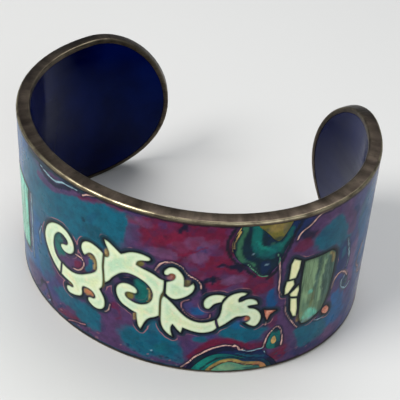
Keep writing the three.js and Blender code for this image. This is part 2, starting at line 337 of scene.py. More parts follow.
def smoothRun(places, steps=6):
    # a curve through the given places
    ends = [places[0]] + list(places) + [places[-1]]
    run = []
    for before, start, stop, after in zip(ends, ends[1:], ends[2:], ends[3:]):
        for step in range(steps):
            t = step / steps
            run.append([
                0.5 * (2 * b + (c - a) * t + (2 * a - 5 * b + 4 * c - d) * t ** 2
                       + (3 * b - a - 3 * c + d) * t ** 3)
                for a, b, c, d in zip(before, start, stop, after)
            ])
    run.append(list(places[-1]))
    return np.array(run)


def gapTo(spots, runs, reach=2.0):
    # distance from each spot to the nearest of the runs, no more than reach
    best = np.full(len(spots), reach)
    for run in runs:
        low = run.min(axis=0) - reach
        high = run.max(axis=0) + reach
        near = np.nonzero(np.all((spots > low) & (spots < high), axis=1))[0]
        if not len(near):
            continue
        mine = spots[near]
        closest = best[near]
        for start, stop in zip(run[:-1], run[1:]):
            side = stop - start
            length = max(side @ side, 1e-9)
            share = np.clip((mine - start) @ side / length, 0, 1)
            gap = mine - start - share[:, None] * side
            closest = np.minimum(closest, np.sqrt((gap ** 2).sum(axis=1)))
        best[near] = closest
    return best


def drift(spots, waves):
    # pushes places about, so that drawn shapes wander
    moved = np.zeros_like(spots)
    for size, amount, seed in waves:
        moved += amount * np.array([noise.noise_vector(Vector((*spot / size, seed)))[:2] for spot in spots])
    return moved


# outlines of the shell, coral and coloured fills

pastTop = bandHeight / mm + 0.5
pastBottom = -0.5

inlays = {
    "scrollHook": {"kind": "shell", "outline": [
        [[-12.6, 11.2], [-14.3, 12.5], [-15.7, 14.3], [-16.5, 16.4], [-16.2, 18.6], [-15.1, 20.4],
         [-13.4, 21.6], [-11.4, 21.9], [-9.8, 21], [-9.05, 19.4], [-9.4, 17.8], [-10.7, 16.95],
         [-11.9, 17.2], [-12.15, 17.9], [-11.6, 18.4], [-10.8, 18.7], [-10.5, 19.4], [-11.1, 20.1],
         [-12.2, 20.3], [-13.3, 19.4], [-13.95, 17.8], [-13.95, 15.9], [-13.3, 14.5], [-12.25, 13.85]],
    ]},
    "scrollFork": {"kind": "shell", "outline": [
        [[-12.3, 11.25], [-11.5, 11.05], [-10.6, 10.9], [-9.9, 10.8], [-9.5, 10.4], [-9.75, 10],
         [-10.5, 9.85], [-11, 9.45], [-11, 8.8], [-10.5, 8.3], [-9.6, 8.4], [-8.6, 8.8], [-7.75, 9.4],
         [-7.45, 10.3], [-7.5, 11.2], [-7.25, 11.8], [-6.5, 12.05], [-5.6, 12], [-5, 11.5],
         [-4.85, 10.95], [-5.2, 10.45], [-5.8, 10.35], [-6.25, 10], [-6.3, 9.5], [-5.9, 8.95],
         [-5, 8.5], [-3.95, 8.65], [-3.2, 9.4], [-2.95, 10.5], [-3.1, 11.7], [-3.6, 12.7], [-3.95, 13.3]],
        [[-3.5, 14], [-3.3, 15.2], [-3.3, 16.8], [-3.4, 18.7], [-3.3, 20.2], [-3.2, 21.5]],
        [[-3.9, 21.95], [-4.8, 22.3], [-5.8, 22.4], [-6.8, 22], [-7.4, 21.1], [-7.45, 20.1], [-6.9, 19]],
        [[-6.6, 19.3], [-6.2, 19.75], [-5.7, 20.15], [-5.1, 20.1], [-4.65, 19.5], [-4.45, 18.3],
         [-4.6, 17.1], [-5.3, 16.2], [-6.5, 15.2], [-7.9, 14.2], [-9.4, 13.6], [-10.8, 13.6],
         [-11.95, 13.9]],
    ]},
    "scrollBody": {"kind": "shell", "outline": [
        [[-3, 20.95], [-2.4, 21.2], [-2.15, 21.9], [-2.4, 22.8], [-2.8, 23.7], [-3.05, 24.55]],
        [[-2.4, 24.45], [-1.6, 24], [-0.9, 23.5], [-0.1, 22.9]],
        [[0.5, 23.3], [1.2, 23.8], [2.1, 24.15], [3.1, 24.25], [4.1, 24.1], [4.75, 23.75], [4.7, 23.35],
         [4.1, 23.05], [3.3, 22.85], [2.7, 22.4], [2.5, 21.75]],
        [[3.4, 21.4], [4.5, 21.1], [5.5, 20.7], [6.3, 20.2], [7, 20]],
        [[7, 19], [6.9, 17.6], [6.55, 16.6], [6.4, 15], [6.4, 13.2], [6.4, 12.1]],
        [[5.7, 11.5], [4.9, 11], [4.35, 10.3], [3.95, 9.4], [3.65, 8.5], [3.4, 7.8]],
        [[3, 8.4], [2.8, 9.3], [2.65, 10.4], [2.6, 11.3]],
        [[1.9, 11.5], [1, 11.9], [0.1, 12.4], [-0.6, 13.4], [-0.9, 14.6], [-0.75, 15.8], [-0.1, 16.7],
         [0.9, 17.15], [1.9, 17.05], [2.6, 16.6], [2.75, 16], [2.5, 15.55], [1.8, 15.45], [1.1, 15.3],
         [0.75, 14.8], [0.9, 14.2], [1.6, 13.75], [2.7, 13.5], [3.8, 13.75], [4.7, 14.5], [5.2, 15.8],
         [5.05, 17.2], [4.3, 18.3], [3.2, 19], [2.1, 19.35], [1, 19.35], [0, 18.9], [-0.9, 18],
         [-1.6, 17.1], [-2.2, 16.1], [-3, 15.2]],
        [[-3.05, 16.8], [-3.15, 18.7]],
    ]},
    "scrollBud": {"kind": "shell", "outline": [
        [[7.25, 17.3], [7.8, 16.7], [8.6, 16.4], [9.5, 16.7], [10.4, 17.3], [11.1, 18], [11.55, 18.8],
         [11.7, 19.7], [11.45, 20.45]],
        [[11.1, 20], [10.6, 19.55], [10.1, 19.5]],
        [[10.1, 20.6], [9.9, 21.6], [9.4, 22.4], [8.7, 23], [7.9, 23], [7.2, 22.4], [6.9, 21.8],
         [7.1, 21.2], [7.6, 21.25], [8, 21.65], [8.5, 21.6], [8.65, 21.1], [8.3, 20.4], [7.3, 19.8]],
    ]},
    "scrollWave": {"kind": "shell", "outline": [
        [[6.95, 16.75], [6.7, 16.1], [6.6, 15], [6.6, 13.4], [6.6, 12], [6.65, 10.9], [6.9, 9.8],
         [7.4, 8.9], [8.1, 8.2], [8.7, 7.85]],
        [[8.5, 8.6], [8.35, 9.5], [8.4, 10.3], [8.6, 10.75]],
        [[9, 10.2], [9.4, 9.6], [9.95, 9.05]],
        [[10.1, 9.7], [10.2, 10.35]],
        [[11, 10.05], [12, 9.75], [13.1, 9.65], [14.2, 9.9], [15, 10.35], [15.5, 11]],
        [[15.25, 11.9], [15.1, 12.8]],
        [[14.3, 12.35], [13.3, 12.05], [12.2, 12.1], [11.2, 12.5], [10.3, 13.2], [9.5, 14.1], [8.8, 15],
         [8, 15.9], [7.45, 16.4], [6.95, 16.75]],
    ]},
    "scrollTendril": {"kind": "shell", "outline": [
        [[15.9, 16.75], [15.3, 16.55], [14.75, 16.2], [14.35, 15.6], [14, 15.2], [13.5, 15.3],
         [13.2, 15.9], [13.2, 16.8], [13.6, 17.6], [14.2, 18.1], [15, 18.35], [15.9, 18.3],
         [16.55, 18.05]],
        [[16.15, 17.4], [15.9, 16.75]],
    ]},
    "scrollClaw": {"kind": "shell", "outline": [
        [[15.35, 12.9], [15.65, 13.5], [15.85, 14.4], [15.95, 15.3], [16, 16.2], [16.15, 16.7],
         [16.45, 17.3], [16.85, 17.95]],
        [[17.5, 18.45], [18.3, 18.75], [19.1, 18.8], [19.8, 18.55]],
        [[19.4, 18.1], [18.8, 17.8], [18.5, 17.3], [18.55, 16.75]],
        [[19, 16.85], [19.6, 17.2], [20.3, 17.3], [21, 17], [21.45, 16.45], [21.55, 15.9]],
        [[20.9, 15.85], [20, 15.75]],
        [[20.2, 15.35], [20.9, 15.1], [21.6, 14.6], [22.1, 13.8], [22.3, 12.9], [22.15, 12], [21.8, 11.3],
         [21.4, 11], [20.8, 11.2], [20.1, 11.7], [19.75, 12.05]],
        [[20.2, 12.3], [20.5, 12.8], [20.3, 13.35], [19.8, 13.6], [19.1, 13.5], [18.5, 13.5],
         [17.9, 13.1], [17.2, 12.4], [16.5, 11.7], [15.8, 11.15]],
        [[15.55, 11.9], [15.35, 12.9]],
    ]},
    "abaloneTileRight": {"kind": "abalone", "outline": [
        [[28.55, 23.2], [31, 23.1], [33.9, 23.15]],
        [[34.8, 22.3], [34.95, 20], [34.8, 16.5], [34.4, 13], [33.35, 10.1]],
        [[32, 9.35], [30.6, 8.75], [29.5, 8.95]],
        [[28.9, 10.5], [28.7, 13], [28.55, 17], [28.5, 20.5], [28.55, 23.2]],
    ]},
    "abaloneTileLeft": {"kind": "abalone", "outline": [
        [[-22.4, 22], [-22.7, 19], [-22.9, 15], [-22.8, 11], [-23.2, 8.2]],
        [[-25.5, 7.6], [-29, 7.4], [-31.6, 8.4]],
        [[-32.2, 12], [-32.3, 17], [-31.6, 21.4]],
        [[-28, 22.4], [-24.5, 22.3], [-22.4, 22]],
    ]},
    "shellStrip1": {"kind": "strip", "sharp": True, "outline": [
        [[26.25, 23.2], [26.7, 24.3], [27.95, 23.55], [27.85, 21.9], [27.4, 20.05], [26.2, 20]],
    ]},
    "shellStrip2": {"kind": "strip", "sharp": True, "outline": [
        [[25.85, 19.75], [27.1, 19.8], [27.3, 18.7], [26.4, 17.1], [25.75, 16.9], [25.65, 18.3]],
    ]},
    "shellStrip3": {"kind": "strip", "sharp": True, "outline": [
        [[28.1, 18.35], [28.3, 17.3], [28.1, 15.75], [26.85, 16.15], [26.6, 16.8], [27.35, 17.5]],
    ]},
    "shellStrip4": {"kind": "strip", "sharp": True, "outline": [
        [[26.85, 15.85], [28.1, 15.45], [28.4, 13], [28.35, 11.2], [27.7, 11.4], [27.1, 13]],
    ]},
    "coralShard": {"kind": "coral", "sharp": True, "outline": [
        [[22.6, 14.45], [24.7, 13.95], [23.75, 13.2], [23.3, 11.9], [22.9, 13]],
    ]},
    "coralChip": {"kind": "coral", "outline": [
        [[33.75, 10.15], [34.4, 10.4], [35, 9.9], [35.35, 9], [35, 8.35], [34.2, 8.6], [33.65, 9.3],
         [33.75, 10.15]],
    ]},
    "greenSwirl": {"kind": "swirl", "hole": "ochreWedge", "outline": [
        [[18.1, pastTop], [17.9, 31.6], [17.2, 30.2], [16.8, 28.6], [16.95, 27.2], [17.5, 25.9],
         [18.4, 24.8], [19.6, 23.9], [20.4, 22.8], [21.3, 21.9], [22.2, 21.6], [22.9, 21.9],
         [23.3, 22.7], [24, 23.6], [24.5, 24.8], [24.9, 26.2], [25.5, 27.7], [26, 29.2], [26.3, 30.7],
         [27.1, pastTop]],
    ]},
    "ochreWedge": {"kind": "ochre", "outline": [
        [[20.1, pastTop], [20.5, 31.8], [21.4, 30.9], [22.3, 29.9], [23.1, 28.9], [23.8, 28.6],
         [24.4, 29.2], [25, 30.3], [25.6, 31.6], [25.9, pastTop]],
    ]},
    "fanNavy": {"kind": "navy", "hole": "fanTeal", "outline": [
        [[10.6, pastBottom], [11.3, 1.6], [12.3, 3.3], [13.4, 4.6], [14.7, 5.5], [16, 6.2], [17.2, 6.5],
         [18.3, 6.2], [19.4, 5.5], [20.8, 4.9], [22.2, 4.9], [23.1, 5.1]],
        [[23.7, 4], [24.6, 2.9], [25.6, 1.6], [26.3, pastBottom]],
    ]},
    "fanTeal": {"kind": "teal", "hole": "fanOchre", "outline": [
        [[11.4, pastBottom], [12.1, 1.2], [13.1, 2.7], [14.2, 3.9], [15.5, 4.7], [16.9, 4.9],
         [18.3, 4.6], [19.6, 4], [21.2, 3.5], [22.8, 3.2], [24, 2.3], [24.9, 1], [25.3, pastBottom]],
    ]},
    "fanOchre": {"kind": "ochre", "hole": "fanSage", "outline": [
        [[13.6, pastBottom], [14.4, 1.2], [15.5, 2.5], [16.7, 3.4], [17.9, 3.7], [19.1, 3.4],
         [20.2, 2.8], [21.6, 2.5], [22.9, 2.2], [23.9, 1.3], [24.5, pastBottom]],
    ]},
    "fanSage": {"kind": "sage", "outline": [
        [[14.5, pastBottom], [15.4, 1.2], [16.5, 2.3], [17.8, 2.8], [19.1, 2.4], [20.3, 1.8],
         [21.7, 1.5], [22.8, 1.2], [23.4, pastBottom]],
    ]},
    "lozengeRing": {"kind": "swirl", "hole": "lozengeCore", "outline": [
        [[25.1, 9.7], [25.8, 8.8], [26.05, 7.2], [26.1, 5.6], [25.8, 4.95], [24.8, 4.8], [23.8, 5.2],
         [23.75, 6.6], [24.1, 8.1], [24.5, 9.2], [25.1, 9.7]],
    ]},
    "lozengeCore": {"kind": "ochre", "outline": [
        [[24.95, 8], [25.3, 7.2], [25.3, 6.3], [24.85, 5.95], [24.45, 6.5], [24.5, 7.4], [24.95, 8]],
    ]},
}

shellKinds = ("shell", "strip", "abalone", "coral")
slots = {
    "shell": "cream_shell", "strip": "cream_shell", "abalone": "green_shell", "coral": "coral",
    "swirl": "green_fill", "ochre": "ochre_fill", "navy": "navy_fill", "teal": "teal_fill",
    "sage": "sage_fill",
}


def nodeFor(name, kind):
    # scrollHook stands for scroll_hook, and the lacquer fills end in _fill
    words = "".join(letter if letter.islower() else "_" + letter.lower() for letter in name)
    return words if kind in shellKinds else words + "_fill"


# materials

def newFinish(name):
    finish = bpy.data.materials.new(name)
    finish.use_nodes = True
    return finish, finish.node_tree, finish.node_tree.nodes["Principled BSDF"]


def addNode(tree, kind, **settings):
    node = tree.nodes.new(kind)
    for key, value in settings.items():
        setattr(node, key, value)
    return node


def feed(node, place, value):
    # links another node's output, or sets a number or a colour
    if isinstance(value, bpy.types.NodeSocket):
        node.id_data.links.new(value, node.inputs[place])
    else:
        node.inputs[place].default_value = value


def setInputs(node, **values):
    for key, value in values.items():
        feed(node, key.replace("_", " "), value)


def readNumber(tree, name):
    return addNode(tree, "ShaderNodeAttribute", attribute_name=name).outputs["Fac"]


def readColour(tree, name):
    return addNode(tree, "ShaderNodeAttribute", attribute_name=name).outputs["Color"]


def objectPlace(tree):
    return addNode(tree, "ShaderNodeTexCoord").outputs["Object"]


def bandPlace(tree, alongScale=1.0, upScale=1.0):
    # millimetres along the band and up it
    mapping = addNode(tree, "ShaderNodeMapping")
    scale = (band["length"] / mm * alongScale, bandHeight / mm * upScale, 1)
    setInputs(mapping, Vector=addNode(tree, "ShaderNodeUVMap", uv_map="bandMap").outputs["UV"], Scale=scale)
    return mapping.outputs["Vector"]


def noiseOver(vector, scale, detail=3.0, roughness=0.5, distortion=0.0):
    texture = addNode(vector.id_data, "ShaderNodeTexNoise")
    setInputs(texture, Vector=vector, Scale=scale, Detail=detail, Roughness=roughness, Distortion=distortion)
    return texture.outputs["Fac"]


def rangeOf(value, fromLow, fromHigh, toLow=0.0, toHigh=1.0):
    node = addNode(value.id_data, "ShaderNodeMapRange", interpolation_type="SMOOTHSTEP")
    for place, number in enumerate((value, fromLow, fromHigh, toLow, toHigh)):
        feed(node, place, number)
    return node.outputs[0]


def patches(vector, noiseSpec, *levels):
    # noise of some scale, detail, roughness and distortion, brought between two levels
    return rangeOf(noiseOver(vector, *noiseSpec), *levels)


def calc(kind, first, second=0.0):
    node = addNode(first.id_data, "ShaderNodeMath", operation=kind)
    feed(node, 0, first)
    feed(node, 1, second)
    return node.outputs[0]


def times(first, second):
    return calc("MULTIPLY", first, second)


def mixed(kind, share, first, second):
    tree = (share if kind == "MIX" else first).id_data
    node = addNode(tree, "ShaderNodeMix", data_type="RGBA", blend_type=kind)
    for place, value in ((0, share), (6, first), (7, second)):
        feed(node, place, value)
    return node.outputs[2]


def laid(base, share, tone):
    # lays a tone over the base, where the share says
    return mixed("MIX", share, base, tone)


def shaded(base, factor):
    return mixed("MULTIPLY", 1.0, base, factor)


def bumpUp(shader, height, strength, distance, socket="Normal"):
    bump = addNode(shader.id_data, "ShaderNodeBump")
    setInputs(bump, Strength=strength, Distance=distance, Height=height)
    feed(shader, socket, bump.outputs["Normal"])


def clearGloss(shader, roughness, weight=0.45):
    setInputs(shader, Coat_Weight=weight, Coat_Roughness=roughness, Coat_IOR=1.3, Specular_IOR_Level=0.03)


tones = {
    "navy": colour(0, 12, 42),
    "inkBlue": colour(2, 36, 84),
    "teal": colour(0, 86, 108),
    "deepTeal": colour(0, 58, 74),
    "seaBlue": colour(0, 82, 132),
    "plum": colour(74, 48, 88),
    "violet": colour(40, 56, 108),
    "mauve": colour(104, 74, 112),
    "crimson": colour(98, 14, 50),
    "brick": colour(112, 18, 50),
    "rose": colour(158, 106, 112),
    "outline": colour(2, 14, 28),
    "ringShade": colour(0, 40, 52),
    "pale": colour(214, 172, 160),
    "ice": colour(140, 176, 190),
    "green": colour(0, 96, 90),
    "leaf": colour(52, 104, 76),
    "darkGreen": colour(0, 46, 52),
    "brightGreen": colour(10, 130, 116),
    "olive": colour(110, 104, 44),
    "ochre": colour(148, 124, 70),
    "gold": colour(190, 160, 92),
    "orange": colour(180, 112, 78),
    "sage": colour(88, 142, 112),
    "greyGreen": colour(92, 122, 96),
    "paleGreen": colour(136, 164, 122),
    "aqua": colour(104, 196, 172),
}


def makeLacquer(name, shellRings):
    finish, tree, shader = newFinish(name)
    place = objectPlace(tree)
    base = shaded(readColour(tree, "ground"), patches(place, (700, 5, 0.65), 0.3, 0.7, 0.82, 1.2))
    base = laid(base, patches(place, (330, 4, 0.6, 0.6), 0.5, 0.66, 0.0, 0.3), tones["inkBlue"])
    base = laid(base, patches(place, (3000, 2, 0.6), 0.64, 0.72, 0.0, 0.4), tones["navy"])
    wander = times(calc("SUBTRACT", noiseOver(place, 900), 0.5), 0.42)
    vein = calc("ADD", readNumber(tree, "veinGap"), times(wander, 0.3))
    base = laid(base, rangeOf(vein, 0.65, 0.2, 0.0, 0.75), tones["navy"])
    line = times(rangeOf(vein, 0.19, 0.07), patches(place, (420,), 0.32, 0.5, 0.35, 1.0))
    base = laid(base, line, readColour(tree, "veinTone"))
    if shellRings:
        rim = calc("ADD", readNumber(tree, "rimGap"), times(wander, 1.6))
        base = laid(base, rangeOf(rim, 0.34, 0.1, 0.0, 0.75), tones["outline"])
        shell = calc("ADD", readNumber(tree, "shellGap"), wander)
        rings = readNumber(tree, "ringShare")
        base = laid(base, times(rangeOf(shell, 1.05, 0.5, 0.0, 0.8), rings), tones["ringShade"])
        trim = rangeOf(calc("ABSOLUTE", calc("SUBTRACT", shell, 0.84)), 0.13, 0.04)
        trim = times(trim, patches(place, (240,), 0.47, 0.62, 0.0, 0.85))
        base = laid(base, times(trim, rings), tones["rose"])
        outline = times(rangeOf(shell, 0.42, 0.26), rangeOf(rings, 0, 1, 0.45, 1.0))
        base = laid(base, outline, tones["outline"])
    setInputs(shader, Base_Color=base, Roughness=patches(place, (300, 4), 0.3, 0.7, 0.26, 0.42))
    clearGloss(shader, 0.08, 0.42)
    bumpUp(shader, noiseOver(place, 260), 0.25, 0.12 * mm)
    bumpUp(shader, noiseOver(place, 120, 2), 0.3, 0.2 * mm, "Coat Normal")
    return finish


def makeLining():
    finish, tree, shader = newFinish("navyLacquer")
    place = objectPlace(tree)
    base = laid(colour(0, 3, 46), patches(place, (90, 4), 0.3, 0.7), colour(0, 14, 72))
    base = laid(base, patches(place, (5200, 2), 0.7, 0.76, 0.0, 0.25), colour(40, 80, 130))
    smear = patches(bandPlace(tree, 0.05, 0.6), (1, 4), 0.3, 0.7, 0.12, 0.26)
    setInputs(shader, Base_Color=base, Roughness=smear, Coat_Tint=colour(150, 190, 245))
    clearGloss(shader, 0.06, 0.06)
    setInputs(shader, IOR=1.22, Specular_IOR_Level=0.5, Specular_Tint=colour(40, 130, 235))
    bumpUp(shader, noiseOver(place, 110, 2), 0.2, 0.3 * mm, "Coat Normal")
    return finish


def makeBrass():
    finish, tree, shader = newFinish("wornBrass")
    place = objectPlace(tree)
    base = laid(colour(56, 48, 43), patches(place, (240, 6, 0.65), 0.35, 0.68), colour(86, 76, 67))
    base = laid(base, patches(place, (900, 4, 0.7), 0.56, 0.7, 0.0, 0.5), colour(34, 30, 28))
    scratches = patches(bandPlace(tree, 0.16, 3.0), (2.2, 5, 0.7), 0.34, 0.66, 0.62, 1.4)
    # lighter brass along the corners: worn bare metal, and also a painted highlight of the rounded outer
    # corner
    rubbedAndHighlight = times(readNumber(tree, "wear"), patches(place, (500, 4), 0.3, 0.62, 0.15, 1.0))
    base = laid(shaded(base, scratches), rubbedAndHighlight, colour(198, 186, 152))
    brushed = noiseOver(bandPlace(tree, 0.12, 5.0), 1.5, 5)
    rough = calc("SUBTRACT", rangeOf(brushed, 0.3, 0.7, 0.32, 0.5), times(rubbedAndHighlight, 0.12))
    setInputs(shader, Base_Color=base, Roughness=rough, Metallic=1.0)
    bumpUp(shader, calc("ADD", times(brushed, 0.35), noiseOver(place, 420, 4)), 0.3, 0.1 * mm)
    return finish


def makeNacre(name, pale, warm, cool, lines, paintedEdgeHighlight):
    finish, tree, shader = newFinish(name)
    place = bandPlace(tree)
    sheen = patches(place, (0.24, 4, 0.55, 0.6), 0.32, 0.66)
    base = laid(laid(pale, sheen, cool), patches(place, (0.8, 3, 0.5, 0.4), 0.52, 0.72, 0.0, 0.75), warm)
    layers = addNode(tree, "ShaderNodeTexWave", wave_type="BANDS", bands_direction="DIAGONAL")
    setInputs(layers, Vector=place, Scale=0.22, Distortion=9.0, Detail=3.0, Detail_Scale=0.8)
    base = shaded(base, patches(place, (2.6, 4, 0.6), 0.3, 0.7, 0.93, 1.05))
    base = laid(base, rangeOf(layers.outputs["Fac"], 0.72, 1.0, 0.0, 0.08), lines)
    # painted highlight and painted shade: a pale band inside each outline, then darker green bands at the
    # very edge, as if the piece were rounded over
    edge = readNumber(tree, "edgeGap")
    base = laid(base, rangeOf(edge, 1.2, 0.4, 0.0, 0.5), paintedEdgeHighlight)
    base = laid(base, rangeOf(edge, 0.36, 0.06, 0.0, 0.6), colour(140, 166, 122))
    base = laid(base, rangeOf(edge, 0.16, 0.02, 0.0, 0.8), colour(66, 90, 66))
    setInputs(shader, Base_Color=base, Roughness=rangeOf(sheen, 0, 1, 0.2, 0.34))
    clearGloss(shader, 0.08)
    bumpUp(shader, layers.outputs["Fac"], 0.08, 0.05 * mm)
    return finish


def makeAbalone():
    finish, tree, shader = newFinish("abaloneShell")
    streaks = noiseOver(bandPlace(tree, 1.0, 0.14), 1, 6, 0.6, 0.6)
    base = shaded(readColour(tree, "ground"), rangeOf(streaks, 0.32, 0.68, 0.56, 1.34))
    bronze = patches(bandPlace(tree, 0.6, 0.16), (0.7, 3, 0.5, 0.6), 0.55, 0.72, 0.0, 0.5)
    cracks = patches(bandPlace(tree, 2.0, 0.25), (1.1, 4, 0.6, 1.0), 0.61, 0.66, 0.0, 0.55)
    glint = patches(bandPlace(tree, 3.0, 0.5), (1.0, 3, 0.6, 0.8), 0.66, 0.74, 0.0, 0.5)
    base = laid(laid(base, bronze, colour(112, 110, 56)), cracks, colour(20, 48, 44))
    base = laid(base, glint, colour(196, 220, 180))
    edge = readNumber(tree, "edgeGap")
    base = laid(base, rangeOf(edge, 0.8, 0.2, 0.0, 0.4), colour(36, 64, 52))
    base = laid(base, rangeOf(edge, 0.22, 0.02, 0.0, 0.85), colour(8, 28, 30))
    setInputs(shader, Base_Color=base, Roughness=rangeOf(streaks, 0.3, 0.7, 0.2, 0.36))
    clearGloss(shader, 0.07, 0.4)
    bumpUp(shader, streaks, 0.3, 0.08 * mm)
    return finish


def makeCoral():
    finish, tree, shader = newFinish("coralStone")
    grain = patches(objectPlace(tree), (1500, 4, 0.6), 0.35, 0.65)
    base = laid(colour(184, 104, 82), grain, colour(226, 160, 132))
    base = laid(base, rangeOf(readNumber(tree, "edgeGap"), 0.25, 0.02, 0.0, 0.7), colour(96, 40, 44))
    setInputs(shader, Base_Color=base, Roughness=rangeOf(grain, 0, 1, 0.25, 0.4))
    clearGloss(shader, 0.1)
    return finish


finishes = {
    "shell": makeNacre(
        "creamNacre", colour(220, 229, 180), colour(236, 222, 184), colour(186, 219, 184),
        colour(160, 186, 150), colour(232, 241, 214)
    ),
    "strip": makeNacre(
        "yellowNacre", colour(246, 240, 172), colour(255, 240, 190), colour(226, 228, 152),
        colour(200, 190, 110), colour(250, 250, 210)
    ),
    "abalone": makeAbalone(),
    "coral": makeCoral(),
}
for kind in slots:
    if kind not in shellKinds:
        finishes[kind] = makeLacquer(kind + "Lacquer", False)
lacquer = makeLacquer("marbledLacquer", True)
liningFinish = makeLining()
brassFinish = makeBrass()
print("materials", len(bpy.data.materials))


# the metal: a flat blank with a tray sunk in each face

def makeBlank():
    blank = roundEndedSlab(0, 0, band["wall"])
    sinks = (
        (-1, band["outerRim"], band["coat"] + band["trayGap"]),
        (1, band["innerRim"], band["lining"] + band["trayGap"]),
    )
    editOn(blank, "FACE")
    for side, rim, sink in sinks:
        chooseFaces(blank, lambda face: face.normal.y * side > 0.9)
        bpy.ops.mesh.inset(thickness=rim)
        bpy.ops.mesh.extrude_region_move(TRANSFORM_OT_translate={"value": (0, -side * sink, 0)})
    editOff()
    return blank


rimSpec = {
    "outerCorner": 0.42 * mm,
    "innerCorner": 0.3 * mm,
    "cornerCuts": 4,
    "reach": 0.05 * mm,  # how near the outline an edge counts as its own
    "step": 0.8 * mm,
    "innerWear": 0.35,  # the outer corner is worn bare and also painted lighter as a highlight, and the inner one this much
}


def chooseEdges(piece, test):
    editOff()
    spots = [vertex.co.copy() for vertex in piece.data.vertices]
    for edge in piece.data.edges:
        edge.select = test(spots[edge.vertices[0]], spots[edge.vertices[1]])
    bpy.ops.object.mode_set(mode="EDIT")


def rimInset(spot):
    # how far a place lies in from the outline of the band
    over = max(abs(spot.x - halfPath) - (band["length"] - bandHeight) / 2, 0)
    return bandHeight / 2 - math.hypot(over, spot.z - bandHeight / 2)


blank = makeBlank()
editOn(blank, "EDGE")
for depth, corner in ((0, rimSpec["outerCorner"]), (band["wall"], rimSpec["innerCorner"])):
    bpy.ops.mesh.select_all(action="DESELECT")
    chooseEdges(blank, lambda one, two: all(
        max(abs(spot.y - depth), rimInset(spot)) < rimSpec["reach"] for spot in (one, two)
    ))
    bpy.ops.mesh.bevel(offset=corner, segments=rimSpec["cornerCuts"], affect="EDGES")
editOff()
cutAcross(blank, rimSpec["step"])
spots = flatPoints(blank)
insets = np.array([rimInset(vertex.co) for vertex in blank.data.vertices]) / mm
# wear and painted highlight: the outer corner is painted as lighter, bare brass, and the inner corner less
outerWearAndHighlight = np.clip(1.3 - spots[:, 2] / 0.3, 0, 1) * np.clip(1.4 - insets / 0.3, 0, 1)
innerWear = np.clip((spots[:, 2] - 1.95) / 0.35, 0, 1) * np.clip(1 - insets / 0.5, 0, 1)
storeNumber(blank, "wear", np.maximum(outerWearAndHighlight, innerWear * rimSpec["innerWear"]))
bendRound(blank)
settle(blank, "brassBlank", "brass_blank", brassFinish)
print("blank", len(blank.data.polygons), "faces")


# the lining, a dark lacquer sheet inside

liningSpec = {
    "gap": 0.06 * mm,
    "sunk": 0.03 * mm,
    "corner": 0.12 * mm,
    "cornerCuts": 3,
    "step": 0.8 * mm,
}
lining = roundEndedSlab(
    band["innerRim"] + liningSpec["gap"], band["wall"] - band["lining"], band["wall"] - liningSpec["sunk"]
)
editOn(lining, "EDGE")
bpy.ops.mesh.select_all(action="DESELECT")
chooseEdges(lining, lambda one, two: min(one.y, two.y) > band["wall"] - 2 * liningSpec["sunk"])
bpy.ops.mesh.bevel(offset=liningSpec["corner"], segments=liningSpec["cornerCuts"], affect="EDGES")
editOff()
cutAcross(lining, liningSpec["step"])
bendRound(lining)
settle(lining, "innerLacquer", "inner_lacquer", liningFinish)
print("lining", len(lining.data.polygons), "faces")


# Paint for a piece, in millimetres along and up: dabs of a tone (along, up, half width, half height,
# strength), then strokes (tone, half width, strength, places), then thin veins of each tone.

ground = {
    "cell": 0.28 * mm,
    "gap": 0.07 * mm,
    "sunk": 0.02 * mm,
    "depth": 0.58 * mm,
    "weld": 0.005 * mm,
    "unseenDabs": 110,
    "unseenVeins": 12,
    "mottles": 60,
    "freckles": 260,
    "seed": 12,
    "fine": ((1.3, 0.22, 8.4), (0.6, 0.18, 5.7)),  # drift of small shapes: size, amount, seed
    "push": ((4.5, 0.8, 3.1), (1.7, 0.3, 6.2)),  # drift of large shapes
    "calmDab": 1.8,  # dabs and strokes narrower than this drift less
    "calmStroke": 1.4,
    "dabEdge": 0.4,  # softness, as a share of the half width
    "strokeEdge": 0.6,
    "unseenFrom": {1: 43, -1: 34},  # where each arm goes out of the front view
    "unseenTones": ["teal", "crimson", "plum", "teal", "crimson", "mauve", "deepTeal", "inkBlue"],
    "mottleTones": ["plum", "mauve", "violet", "brick", "navy"],
    "freckleTones": ["navy", "navy", "inkBlue", "plum", "rose", "deepTeal"],
}
noise.seed_set(ground["seed"])  # or the drift would change from run to run

